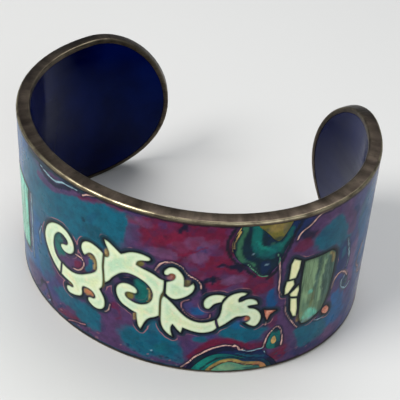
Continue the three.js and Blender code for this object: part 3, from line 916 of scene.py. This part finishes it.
groundPaint = {
    "base": "plum",
    "dabs": [
        # the first two dabs turn each side of the band blue and violet: partly the lacquer's own colour,
        # partly a painted reflection of a cyan surround
        ("violet", (42, 16, 6.5, 18, 0.9)), ("seaBlue", (-27, 16, 9, 20, 0.9)),
        ("teal", (-20, 24, 5, 7, 0.8), (19.6, 9.6, 3.8, 2.2, 1), (17.2, 10.8, 1.8, 1.4, 0.8)),
        ("seaBlue", (-20, 11, 4.5, 8, 0.8)),
        ("teal", (-17, 10, 2.6, 4, 0.7), (-9, 26, 10, 4.4, 1), (-3, 28, 5, 3.6, 1), (-13, 23.6, 6, 2.6, 1),
         (0.6, 30, 2.4, 1.4, 0.7)),
        ("plum", (-19, 3, 6, 3, 0.8), (-9.5, 16, 3.4, 2.4, 1)), ("violet", (-14.5, 7, 3, 2.4, 0.6)),
        ("deepTeal", (-4, 24.6, 3.4, 1.2, 0.5)),
        ("crimson", (10.5, 28.6, 8, 4.6, 1), (6, 29.5, 3, 3.4, 1), (14.6, 26, 2.6, 7, 1),
         (15.5, 22, 4, 2.4, 0.9), (21.4, 20.6, 2.6, 2.4, 0.95), (-8, 16, 1.2, 1.4, 0.8),
         (26, 3, 1.7, 1.5, 1), (27, 5.6, 0.9, 2.6, 0.8), (24.2, 11.8, 0.8, 1.6, 0.7)),
        ("brick", (6.5, 29, 3, 2, 0.5), (14.5, 25, 1.5, 4, 0.4)), ("plum", (1.6, 27.6, 1.2, 2.6, 0.8)),
        ("mauve", (11.4, 28.4, 1.6, 1.4, 0.4), (12.8, 27.4, 1, 1.4, 0.4), (12.2, 25.6, 1.3, 1, 0.5),
         (6.6, 25.4, 2.6, 0.9, 0.6), (17.6, 21.4, 1.8, 1, 0.6)),
        ("violet", (12.4, 27.2, 0.8, 0.6, 0.5)),
        ("teal", (-6.6, 5.6, 3, 2.8, 1), (-11, 6.6, 3, 1.8, 0.9), (-5, 5, 1.2, 2.4, 0.8),
         (31, 5.6, 3.4, 2.9, 1), (34.8, 6.4, 3.4, 2.2, 0.9)),
        ("crimson", (-10.6, 2.6, 2.4, 0.9, 0.5), (-0.8, 10, 1.1, 2.2, 0.8)),
        ("violet", (-14.6, 4.4, 2, 1.4, 0.5)), ("plum", (-3, 4, 1, 5, 0.6)),
        ("teal", (4.8, 5, 5.4, 3.1, 1), (5.2, 9, 1.4, 2, 0.9), (9, 3.6, 1.8, 2.2, 0.8)),
        ("deepTeal", (2, 5.6, 1.4, 1.2, 0.4)),
        ("green", (7, 4.6, 1.6, 1.2, 0.3), (-12.6, 18, 1.5, 2.6, 0.95)),
        ("violet", (13.6, 9, 1.8, 0.8, 0.7)), ("teal", (13, 8.1, 1.2, 0.7, 0.9)),
        ("seaBlue", (18.6, 11.6, 1.4, 1, 0.5), (23.7, 16.6, 0.9, 2.4, 0.95), (37.6, 7.6, 2.8, 3.4, 0.85),
         (36.6, 11, 1.2, 2, 0.8), (12.4, 14.5, 1.1, 0.9, 0.9)),
        ("plum", (24.4, 20, 0.6, 4, 0.7)),
        ("inkBlue", (27.4, 30.6, 1.6, 1.8, 0.95), (31.6, 2, 3.6, 1, 0.6)),
        ("navy", (28.8, 28.8, 1.2, 1.8, 0.8), (1.4, 18.1, 2.4, 1, 1), (-7, 26.2, 0.5, 0.4, 0.6),
         (7, 28.7, 0.4, 0.4, 0.5)),
        ("crimson", (28, 26.6, 1.7, 1.3, 0.7)), ("brick", (30.4, 28, 0.8, 0.7, 0.4)),
        ("teal", (33.4, 26.6, 3.6, 3, 1), (36.4, 24, 1.8, 2.6, 0.9)),
        ("mauve", (38, 26.4, 1, 2.2, 0.7), (33.6, 30.6, 3.4, 1, 0.7), (37, 3, 3, 1.4, 0.5)),
        ("inkBlue", (36.8, 20, 2, 3.4, 0.95)), ("teal", (37, 20.8, 0.5, 1.2, 0.7)),
        ("mauve", (40.4, 17, 1.4, 5, 0.75)), ("teal", (43, 25, 2.6, 5, 0.7)),
        ("crimson", (40.6, 9.5, 1.4, 3, 0.35)), ("plum", (36.6, 13.6, 0.8, 1.4, 0.8)),
        ("deepTeal", (39.2, 13, 0.9, 1.3, 0.9)), ("seaBlue", (45, 20, 4, 11, 0.7)),
        ("violet", (44, 8, 4, 5, 0.6), (11, 15, 0.9, 1.2, 0.6)), ("inkBlue", (38.5, 28.2, 1.1, 1.2, 0.9)),
        ("green", (3.5, 16.2, 1.3, 2.6, 1)),
        ("olive", (1.4, 14.7, 0.9, 0.9, 1), (-9.9, 10.6, 0.7, 0.5, 1), (3, 22.3, 0.8, 0.8, 1)),
        ("darkGreen", (-11.2, 19.6, 0.9, 0.7, 0.8)),
        ("ochre", (-6.1, 11.2, 1, 0.9, 1), (28.7, 10.6, 0.4, 1, 0.9)),
        ("orange", (-6.1, 11.2, 0.75, 0.65, 0.9), (8.3, 21, 0.9, 0.8, 1), (20, 12.8, 0.6, 0.6, 1)),
        ("gold", (-2.6, 22, 0.4, 0.9, 0.8)), ("olive", (10.4, 20.2, 0.6, 0.7, 1)),
        ("ice", (5.05, 3.5, 0.2, 0.25, 1), (13.8, 21.3, 0.16, 0.16, 1)),
    ],
    "strokes": [
        ("plum", 0.75, 0.9, [(-17.5, 28.4), (-14, 28.6), (-11, 29.6), (-8.6, 30.8), (-5, 31.2)]),
        ("crimson", 0.3, 0.6, [(-7.6, 30.4), (-5.6, 31), (-3, 31.6), (0, 31.6)]),
        ("darkGreen", 0.5, 0.9, [(-21, 31.2), (-16, 31.5), (-12, 31.9), (-7, 31.8)]),
        ("navy", 0.42, 0.95, [(-17.2, 30.5), (-15.2, 29.7), (-13, 29.5), (-11.2, 30.3), (-9.8, 30.7)]),
        ("plum", 1, 0.95, [(-2.4, 0.8), (-2.4, 4.4), (-2.2, 7.4), (-0.9, 9.4)]),
        ("plum", 1, 0.95, [(11.4, 0.8), (11.3, 4), (10.8, 7.8), (9.6, 8.3)]),
        ("crimson", 0.85, 1, [(11.8, 3.4), (13.4, 5.8), (15.4, 7.3), (17.4, 7.7), (19.6, 6.8), (21.4, 6.1),
         (23, 6.2)]),
        ("plum", 0.9, 0.9, [(25.8, 16), (26.4, 13), (26.2, 11), (27.4, 8.4), (28.4, 3.4)]),
        ("plum", 1, 0.9, [(29.6, 30), (31.6, 31), (35, 30.6), (37.2, 28.4), (38.4, 25)]),
        ("outline", 0.3, 0.9, [(17.3, 31.9), (16.4, 30.2), (16.1, 28.4), (16.4, 26.8), (17.3, 25.2),
         (18.8, 23.9), (20.6, 22)]),
        ("outline", 0.3, 0.9, [(22.6, 21.3), (23.8, 22.4), (24.6, 24.2), (25.2, 26.2), (26, 28.2),
         (26.6, 30), (27.3, 31.6)]),
        ("navy", 0.26, 0.8, [(-20.6, 1), (-19, 3), (-18.4, 5)]),
        ("violet", 0.4, 0.8, [(-18.4, 1.2), (-17.2, 2.6), (-16, 4.6)]),
        ("inkBlue", 0.3, 0.8, [(-14, 1), (-13, 3), (-12, 3.8)]),
        ("rose", 0.12, 0.8, [(-16.8, 5.2), (-16.1, 6.4)]),
        ("crimson", 0.3, 0.7, [(-13.4, 1.6), (-10.8, 2), (-8.6, 3)]),
        ("ice", 0.14, 0.9, [(-16.8, 0.8), (-16, 1.6)]),
        ("navy", 0.32, 0.9, [(9, 30.2), (9.4, 31), (10, 31.5)]),
        ("navy", 0.22, 0.8, [(10, 30.6), (9.6, 31.8)]),
        ("navy", 0.24, 0.9, [(15, 24.2), (15.6, 24.6), (16.4, 24.1), (17.4, 24.3)]),
        ("navy", 0.5, 0.95, [(16.8, 24), (17.6, 24), (18.2, 23.4)]),
        ("plum", 0.16, 0.9, [(15.3, 24.2), (15.5, 24.1)]),
        ("navy", 0.42, 0.95, [(13.3, 20.9), (13.9, 21.4), (14.6, 21.2)]),
        ("navy", 0.18, 0.8, [(13.9, 22), (15.4, 21.7)]), ("navy", 0.2, 0.9, [(14.3, 20.4), (14.4, 22.2)]),
        ("pale", 0.26, 0.75, [(35.3, 14.2), (35.7, 15.8), (36.8, 16.4), (38, 15.8), (39.2, 14.4)]),
        ("ice", 0.22, 0.7, [(38.5, 14.5), (37.8, 13.6), (38.1, 12.2), (39, 11.3), (40.2, 11.2)]),
        ("ice", 0.24, 0.6, [(37.7, 23), (38.3, 21), (38.9, 18.8)]),
        ("ice", 0.16, 0.7, [(-16, 30.6), (-13.6, 30.25), (-11.4, 30.9)]),
        ("navy", 0.5, 0.9, [(12.7, 20.6), (13, 19.4), (13.1, 18.4)]),
        ("brick", 0.12, 0.7, [(9, 25.6), (11, 26.4), (13.2, 27.8)]),
        ("olive", 0.25, 0.9, [(-3, 21.2), (-3.35, 18), (-3.2, 15), (-3.7, 13.6)]),
        ("olive", 0.25, 0.9, [(7, 20), (6.9, 17.6), (6.5, 15.5), (6.5, 12)]),
        ("gold", 0.28, 0.9, [(-4.75, 20), (-4.6, 18.6), (-4.9, 17.4)]),
        ("ochre", 0.4, 0.9, [(-6, 19.8), (-5.4, 19.6), (-5.2, 18.9)]),
        ("teal", 0.5, 0.9, [(-5.6, 18.6), (-5.6, 17.4), (-6.4, 16.2)]),
        ("gold", 0.18, 0.9, [(4.5, 17.6), (4.9, 16.6), (4.8, 15.2), (4.5, 14.7)]),
        ("gold", 0.2, 0.8, [(2.35, 11.2), (2.45, 9.8)]),
        ("navy", 0.35, 0.85, [(-19, 3.8), (-17.4, 4.8), (-16, 3.4), (-15.4, 1.6)]),
        ("deepTeal", 0.3, 0.8, [(-22, 0.9), (-8, 0.9), (6, 0.9), (10, 0.9)]),
    ],
    # along, up, half width, half height and share of the dark rings left out there
    "calm": [
        (-12.5, 17.8, 1.9, 3.2, 0.8), (2.4, 16.8, 3.4, 3, 0.65), (-5.6, 18, 1.4, 2.6, 0.75),
        (-9.4, 16.2, 3, 2.2, 0.5), (12, 15, 2.2, 2.2, 0.4), (-6.1, 11.2, 1.1, 1, 1),
        (-9.9, 10.6, 0.8, 0.6, 1), (3, 22.3, 1, 0.9, 1), (8.3, 21, 1, 0.9, 1), (10.4, 20.2, 0.7, 0.8, 0.9),
        (20, 12.8, 0.7, 0.7, 1), (-2.6, 22, 0.5, 1, 0.9), (1.4, 14.7, 1, 1, 1), (2.4, 10.4, 0.4, 1.2, 0.8),
        (28.7, 10.6, 0.5, 1, 0.8), (-3.3, 17.4, 0.35, 4, 1), (6.6, 15.8, 0.4, 4.4, 1),
        (-12.4, 12.5, 0.3, 1.4, 0.8), (15.4, 11.9, 0.3, 1.2, 0.8),
    ],
    "veins": {
        "ice": [
            [(-17, 30.9), (-15, 30.4), (-13, 30.3), (-11, 31.1), (-8, 31.35)],
            [(-21.4, 7.6), (-21.6, 12), (-21.3, 17), (-21.2, 22)],
            [(-18.2, 13.6), (-18.4, 15.6), (-17.6, 17.8)], [(32.2, 8.3), (33.4, 7.8), (34.6, 7.9)],
            [(37.6, 23.2), (38.2, 21.2), (38.8, 18.7), (38.5, 16.6)],
            [(37.8, 14.2), (37.8, 12.8), (38.6, 11.6), (39.6, 11), (40.6, 11.6)],
            [(23.5, 4.5), (23.8, 3.4), (24.8, 2.1)], [(19.6, 5.6), (21, 5.1), (22.4, 5.3), (23.1, 5.4)],
        ],
        "pale": [
            [(-7, 31), (-6, 31.6), (-4.6, 32)],
            [(-8.8, 18.1), (-7.6, 18), (-7, 17.2), (-7.3, 16), (-8.2, 14.9), (-9.4, 14.5)],
            [(-2, 11), (-2.2, 9.6), (-3, 8.6)],
            [(5.5, 21.5), (6, 22.6), (6.8, 23.6), (8.2, 24), (9.6, 23.4)],
            [(9.6, 23.4), (10.6, 22), (11.8, 21.2), (12.5, 20.4), (12.7, 19.4)],
            [(26.75, 28), (27.4, 29.4), (28.6, 30.2), (29.6, 31.2), (30.6, 31.9), (32.6, 31.8)],
            [(24.2, 24.8), (24.5, 23), (24.7, 20), (24.7, 18.4), (25.2, 17)],
            [(26.1, 14.4), (26.4, 12.8), (27.2, 11), (28.3, 9.2), (28.9, 8.3)],
            [(35.2, 13.8), (35.5, 15.4), (36.6, 16.4), (38, 15.8), (39.3, 14.1)],
            [(18.4, 6.9), (19.1, 6.3), (19.3, 5.6), (19.9, 5.8)],
            [(23.3, 5.6), (23.6, 7.6), (24.4, 9.3), (25.1, 10), (25.9, 9.2), (26.4, 7), (26.3, 5.2)],
            [(10.2, 0.8), (11.4, 2.4), (12.6, 4), (14, 5.4), (15.6, 6.4), (17.2, 6.9), (18.4, 6.6)],
            [(22.9, 13.2), (23.2, 11.6), (23.1, 10.8)],
        ],
        "rose": [
            [(11, 16.8), (9.9, 16.1), (9.9, 14.8), (10.8, 13.4), (12.4, 12.6), (14, 13), (14.3, 14)],
            [(-11, 0.9), (-9.4, 1.9), (-8, 2.3), (-7, 2.9)],
        ],
        "gold": [[(18, 31.8), (17.3, 30.2), (16.9, 28.6), (17, 27.2)]],
    },
}

fillPaint = {
    "greenSwirl": {
        "base": "navy",
        "dabs": [
            ("darkGreen", (22, 28, 5, 5, 0.5)), ("green", (22.4, 26.4, 2, 0.8, 0.5)),
            ("inkBlue", (22, 24, 1, 1.2, 0.5), (27, 30.6, 1, 2, 0.8)),
            ("darkGreen", (25.4, 28.6, 0.8, 1.6, 0.6)), ("inkBlue", (22.6, 30.2, 0.6, 0.6, 0.7)),
            ("ice", (21.2, 27.6, 0.2, 0.16, 0.8), (22.3, 24.2, 0.16, 0.2, 0.6),
             (20, 26.8, 0.16, 0.16, 0.6)),
            ("sage", (23.9, 25.6, 0.2, 0.3, 0.8)), ("ice", (24.4, 27.7, 0.16, 0.16, 0.7)),
            ("leaf", (22.8, 28.3, 0.4, 0.3, 0.6)),
        ],
        "strokes": [
            ("leaf", 0.42, 0.95, [(18.5, 31.8), (18, 29.6), (17.7, 27.6), (18, 26.2), (18.8, 25.1),
             (20, 24.3)]),
            ("green", 0.85, 0.95, [(20.4, 31.8), (20.4, 30), (20.4, 28.4), (21, 27.3), (22.4, 26.9),
             (23.6, 27.4)]),
            ("green", 0.4, 0.85, [(23.6, 27.4), (24.6, 28), (25.2, 29), (25.8, 30.6)]),
            ("brightGreen", 0.3, 0.7, [(20.6, 29), (21, 28), (22.2, 27.4), (23.2, 26.8)]),
            ("leaf", 0.13, 0.9, [(19.3, 24.9), (20.2, 23.9), (20.8, 22.9), (21.6, 22.1), (22.5, 22)]),
        ],
        "veins": {
            "gold": [[(17.8, 31), (17.2, 29.2), (17.1, 27.6)]],
            "sage": [
                [(19.2, 24.6), (20.6, 23), (21.5, 22), (22.6, 21.9)],
                [(23.8, 26), (24.3, 24.8), (24.2, 24)],
            ],
        },
    },
    "ochreWedge": {
        "base": "olive",
        "dabs": [
            ("ochre", (23.4, 31.4, 1.4, 0.9, 0.6)), ("darkGreen", (21.8, 31, 0.5, 0.7, 0.5)),
            ("olive", (22.4, 30.2, 0.9, 0.7, 0.8)), ("darkGreen", (23.6, 29, 0.7, 0.4, 0.7)),
            ("olive", (25.2, 31, 0.5, 1.4, 0.6)),
        ],
    },
    "fanNavy": {
        "base": "navy",
        "dabs": [
            ("inkBlue", (19, 5.2, 3, 0.6, 0.6), (23.4, 4, 2, 1.4, 0.6)),
            ("darkGreen", (12.6, 3.4, 1, 1.6, 0.5)),
        ],
        "strokes": [("teal", 0.2, 0.9, [(18.8, 4.9), (20.4, 4.2), (22, 3.9), (23.6, 3.4)])],
    },
    "fanTeal": {
        "base": "green",
        "dabs": [
            ("brightGreen", (13.6, 2.8, 1.6, 1.8, 0.7)), ("inkBlue", (21.4, 3, 2.6, 0.8, 0.8)),
            ("navy", (24.4, 1.4, 1, 1.2, 0.8)),
        ],
        "strokes": [
            ("navy", 0.2, 0.85, [(13.4, 0.8), (15, 3), (16.6, 4), (18.2, 4.1), (20, 3.3), (22, 2.9),
             (24, 1.8)]),
        ],
    },
    "fanOchre": {
        "base": "ochre",
        "dabs": [("orange", (23.2, 1.6, 1.6, 0.9, 0.6)), ("gold", (17.6, 3.2, 1.6, 0.6, 0.5))],
        "strokes": [
            ("navy", 0.15, 0.9, [(14.9, 0.7), (16.4, 2.4), (17.8, 2.9), (19.1, 2.5), (20.3, 1.9),
             (21.7, 1.6), (22.9, 1.2)]),
            ("olive", 0.2, 0.6, [(13.8, 0.8), (15.2, 2.6), (16.8, 3.6), (18.4, 3.7)]),
        ],
    },
    "fanSage": {
        "base": "sage",
        "dabs": [("deepTeal", (21.8, 1, 1.6, 0.4, 0.7)), ("paleGreen", (17.6, 1.6, 1.4, 0.7, 0.5))],
    },
    "lozengeRing": {
        "base": "green",
        "dabs": [
            ("navy", (25.8, 5.4, 0.6, 1, 0.8), (25, 9.2, 0.6, 0.5, 0.8)),
            ("brightGreen", (24.1, 6.4, 0.3, 1, 0.7)),
        ],
    },
    "lozengeCore": {"base": "gold", "dabs": [("orange", (24.9, 6.6, 0.3, 0.6, 0.4))]},
    "abaloneTileRight": {
        "base": "greyGreen",
        "dabs": [
            ("paleGreen", (30, 19, 1.6, 5, 0.7)), ("deepTeal", (34, 17, 1.2, 7, 0.45)),
            ("greyGreen", (31.8, 21, 0.7, 3, 0.5)),
            ("aqua", (30.8, 10.6, 1.3, 1.3, 0.8), (30.6, 15.8, 0.4, 0.4, 0.7)),
            ("ochre", (28.9, 11.4, 0.5, 1.2, 0.5)), ("ice", (30.6, 9.2, 1.4, 0.4, 0.5)),
        ],
        "strokes": [
            ("deepTeal", 0.3, 0.5, [(31.6, 22.6), (31.6, 19), (31.2, 14)]),
            ("paleGreen", 0.3, 0.6, [(32.6, 21.4), (32.4, 17), (32.6, 13)]),
            ("paleGreen", 0.2, 0.8, [(28.9, 16), (28.9, 13), (29.3, 10)]),
            ("gold", 0.25, 0.7, [(33.6, 22.8), (34.3, 22), (34.5, 20.6)]),
        ],
    },
    "abaloneTileLeft": {
        "base": "aqua",
        "dabs": [
            ("paleGreen", (-26, 14, 2, 6, 0.3)), ("sage", (-29.6, 12, 1.6, 5, 0.5)),
            ("deepTeal", (-22.8, 14, 0.5, 8, 0.7)),
        ],
    },
}


def extraPaint():
    # carries the marbling on round both arms, mottles the crimson and freckles the bottom edge
    chance = random.Random(ground["seed"])
    dabs, small = [], []
    veins = {tone: list(runs) for tone, runs in groundPaint["veins"].items()}
    for count in range(ground["unseenDabs"]):
        side = -1 if count % 2 else 1
        along = side * chance.uniform(ground["unseenFrom"][side], 72)
        tone = chance.choice(ground["unseenTones"])
        up, halfWidth, halfHeight = chance.uniform(1, 32), chance.uniform(1.5, 6), chance.uniform(1, 4)
        dabs.append((tone, (along, up, halfWidth, halfHeight, 0.9)))
    for count in range(ground["unseenVeins"]):
        side = -1 if count % 2 else 1
        along, up = side * chance.uniform(46, 66), chance.uniform(5, 27)
        heading = chance.uniform(0, 2 * math.pi)
        run = [(along, up)]
        for _ in range(chance.randint(4, 8)):
            heading += chance.uniform(-0.9, 0.9)
            along += 1.5 * math.cos(heading)
            up += 1.5 * math.sin(heading)
            run.append((along, min(max(up, 1), 31.5)))
        veins[chance.choice(["pale", "rose", "ice", "gold"])].append(run)
    for _ in range(ground["mottles"]):
        tone = chance.choice(ground["mottleTones"])
        strength = 0.2 if tone == "navy" else chance.uniform(0.15, 0.4)
        size = chance.uniform(0.4, 1.1)
        stretch = chance.uniform(0.7, 1.7)
        along, up = chance.uniform(1, 17), chance.uniform(19.5, 31.6)
        small.append((tone, (along, up, stretch * size, size, strength)))
    for _ in range(ground["freckles"]):
        size = chance.uniform(0.1, 0.22)
        tone = chance.choice(ground["freckleTones"])
        along, up = chance.uniform(-24, 38), 0.7 + 3 * chance.random() ** 2
        small.append((tone, (along, up, 1.6 * size, size, chance.uniform(0.4, 0.8))))
    return dabs, veins, small


def laidOver(paint, tone, reach, edge, strength):
    # a reach of 1 is the middle of the soft edge
    share = np.clip((1 + edge / 2 - reach) / edge, 0, 1)
    share = (share * share * (3 - 2 * share) * strength)[:, None]
    return paint * (1 - share) + np.array(tones[tone]) * share


def paintPiece(piece, recipe):
    spots = flatPoints(piece)[:, :2]
    fine, push = drift(spots, ground["fine"]), drift(spots, ground["push"])
    paint = np.tile(np.array(tones[recipe["base"]]), (len(spots), 1))
    for tone, *places in recipe.get("dabs", []):
        for along, up, halfWidth, halfHeight, strength in places:
            calm = min(1.0, min(halfWidth, halfHeight) / ground["calmDab"])
            at = spots + push * calm + fine * (1 + calm)
            reach = np.hypot((at[:, 0] - along) / halfWidth, (at[:, 1] - up) / halfHeight)
            paint = laidOver(paint, tone, reach, ground["dabEdge"], strength)
    for tone, halfWidth, strength, places in recipe.get("strokes", []):
        calm = min(1.0, halfWidth / ground["calmStroke"])
        gap = gapTo(spots + push * calm + fine * 0.8, [smoothRun(places)], 1.5 * halfWidth)
        paint = laidOver(paint, tone, gap / halfWidth, ground["strokeEdge"], strength)
    storeColour(piece, "ground", paint)
    nearest = np.full(len(spots), 2.0)
    veinTone = np.tile(np.array(tones["pale"]), (len(spots), 1))
    for tone, runs in recipe.get("veins", {}).items():
        gap = gapTo(spots + push * 0.12 + fine * 0.3, [smoothRun(run) for run in runs])
        closer = gap < nearest
        nearest[closer] = gap[closer]
        veinTone[closer] = tones[tone]
    storeNumber(piece, "veinGap", nearest)
    storeColour(piece, "veinTone", veinTone)


# cut the coat for the inlays, and cut each inlay from a slab of its own

inlaySpec = {"cell": 0.3 * mm, "gap": 0.05 * mm, "spare": 0.1 * mm}
knotSets = {name: outlineKnots(spec["outline"], spec.get("sharp", False)) for name, spec in inlays.items()}
lines = {name: outlineLine(knots) for name, knots in knotSets.items()}

coatEdge = band["outerRim"] + ground["gap"]
coat = fineSlab(
    coatEdge - band["length"] / 2, band["length"] / 2 - coatEdge, coatEdge, bandHeight - coatEdge,
    ground["sunk"], ground["depth"], ground["cell"],
)
capsule = roundEndedSlab(coatEdge, -mm, 2 * mm)
applyTool(coat, "BOOLEAN", operation="INTERSECT", object=capsule, solver="MANIFOLD")
nested = {spec["hole"] for spec in inlays.values() if "hole" in spec}
for name, knots in knotSets.items():
    if name in nested:
        continue
    prism = outlinePrism(name + "Cutter", knots)
    applyTool(coat, "BOOLEAN", operation="DIFFERENCE", object=prism, solver="MANIFOLD")
    discard(prism)
print("coat cut", len(coat.data.polygons), "faces")

shellRuns = [lines[name] for name, spec in inlays.items() if spec["kind"] in shellKinds]
weld(coat, ground["weld"])
cutAcross(coat, 4 * ground["cell"])
extraDabs, veins, smallDabs = extraPaint()
paintPiece(coat, {
    "base": groundPaint["base"],
    "dabs": extraDabs + groundPaint["dabs"] + smallDabs,
    "strokes": groundPaint["strokes"],
    "veins": veins,
})
spots = flatPoints(coat)[:, :2]
storeNumber(coat, "shellGap", gapTo(spots, shellRuns))
storeNumber(coat, "rimGap", [(rimInset(vertex.co) - coatEdge) / mm for vertex in coat.data.vertices])
ringShare = np.ones(len(spots))
for along, up, halfWidth, halfHeight, amount in groundPaint["calm"]:
    reach = np.hypot((spots[:, 0] - along) / halfWidth, (spots[:, 1] - up) / halfHeight)
    ringShare = np.minimum(ringShare, 1 - amount * np.clip((1.25 - reach) / 0.3, 0, 1))
storeNumber(coat, "ringShare", ringShare)
bendRound(coat)
settle(coat, "outerLacquer", "outer_lacquer", lacquer)
print("coat", sum(len(face.vertices) - 2 for face in coat.data.polygons), "triangles")

spare = inlaySpec["spare"]
for name, spec in inlays.items():
    run = lines[name]
    low, high = run.min(axis=0) * mm, run.max(axis=0) * mm
    slab = fineSlab(
        low[0] - spare, high[0] + spare, low[1] - spare, high[1] + spare,
        0, ground["depth"], inlaySpec["cell"],
    )
    prism = outlinePrism(name + "Cutter", knotSets[name], inlaySpec["gap"])
    applyTool(slab, "BOOLEAN", operation="INTERSECT", object=prism, solver="MANIFOLD")
    discard(prism)
    edges = [run]
    if "hole" in spec:
        prism = outlinePrism(name + "Hole", knotSets[spec["hole"]])
        applyTool(slab, "BOOLEAN", operation="DIFFERENCE", object=prism, solver="MANIFOLD")
        discard(prism)
        edges.append(lines[spec["hole"]])
    if low[1] < coatEdge or high[1] > bandHeight - coatEdge:
        applyTool(slab, "BOOLEAN", operation="INTERSECT", object=capsule, solver="MANIFOLD")
    weld(slab, ground["weld"])
    storeNumber(slab, "edgeGap", gapTo(flatPoints(slab)[:, :2], edges))
    if name in fillPaint:
        paintPiece(slab, fillPaint[name])
    bendRound(slab)
    settle(slab, name, nodeFor(name, spec["kind"]), finishes[spec["kind"]])
discard(capsule)
print("inlays", len(inlays))

for helper in (bendPath, leanCage):
    discard(helper)


# floor, light and camera

stageSpec = {
    "floorSize": 4.0,
    "floorGap": 0.02 * mm,
    "floorColour": (0.66, 0.66, 0.65, 1),
    "worldColour": (0.86, 0.92, 1.0, 1),
    "worldStrength": 0.22,
}

deselectAll()
bpy.ops.mesh.primitive_plane_add(size=stageSpec["floorSize"], location=(0, 0, -stageSpec["floorGap"]))
floor = bpy.context.object
floor.name = "floor"
floorFinish, floorTree, floorShader = newFinish("paleFloor")
setInputs(floorShader, Base_Color=stageSpec["floorColour"], Roughness=0.7)
floor.data.materials.append(floorFinish)

world = bpy.data.worlds.new("studio")
world.use_nodes = True
backdrop = world.node_tree.nodes["Background"]
setInputs(backdrop, Color=stageSpec["worldColour"], Strength=stageSpec["worldStrength"])
bpy.context.scene.world = world

lamps = {
    "keyLamp": {"at": (-0.22, -0.26, 0.42), "size": 0.26, "power": 2.3, "colour": (1, 0.98, 0.95)},
    "fillLamp": {"at": (0.38, -0.3, 0.3), "size": 0.4, "power": 0.8, "colour": (0.92, 0.96, 1)},
    "topLamp": {"at": (0.02, 0.2, 0.5), "size": 0.35, "power": 1.3, "colour": (1, 1, 1)},
}


def aimAt(thing, target, roll=0.0):
    sight = Vector(target) - thing.location
    thing.rotation_euler = (sight.to_track_quat("-Z", "Y") @ Quaternion((0, 0, 1), roll)).to_euler()


for name, lamp in lamps.items():
    deselectAll()
    bpy.ops.object.light_add(type="AREA", location=lamp["at"])
    light = bpy.context.object
    light.name = name
    light.data.shape = "DISK"
    light.data.size = lamp["size"]
    light.data.energy = lamp["power"]
    light.data.color = lamp["colour"]
    aimAt(light, (0, 0, bandHeight / 2))

cameraSpec = {
    "azimuth": math.radians(22.832),
    "elevation": math.radians(40.765),
    "roll": 0.0656,
    "distance": 150.753 * mm,
    "aim": (2.5672 * mm, -2.6782 * mm),
    "view": math.radians(26.145),
}

middle = Vector((0, ringCentreY, bandHeight / 2))
around, above = cameraSpec["azimuth"], cameraSpec["elevation"]
back = Vector((math.sin(around) * math.cos(above), -math.cos(around) * math.cos(above), math.sin(above)))
deselectAll()
bpy.ops.object.camera_add(location=middle + back * cameraSpec["distance"])
camera = bpy.context.object
camera.name = "camera"
camera.data.angle = cameraSpec["view"]
camera.data.clip_start = 5 * mm
aimAt(camera, middle + Vector((*cameraSpec["aim"], 0)), cameraSpec["roll"])
bpy.context.scene.camera = camera
bpy.context.scene.view_settings.view_transform = "Standard"  # keeps the lacquer's deep colours
print("stage, lamps and camera set")

deselectAll()
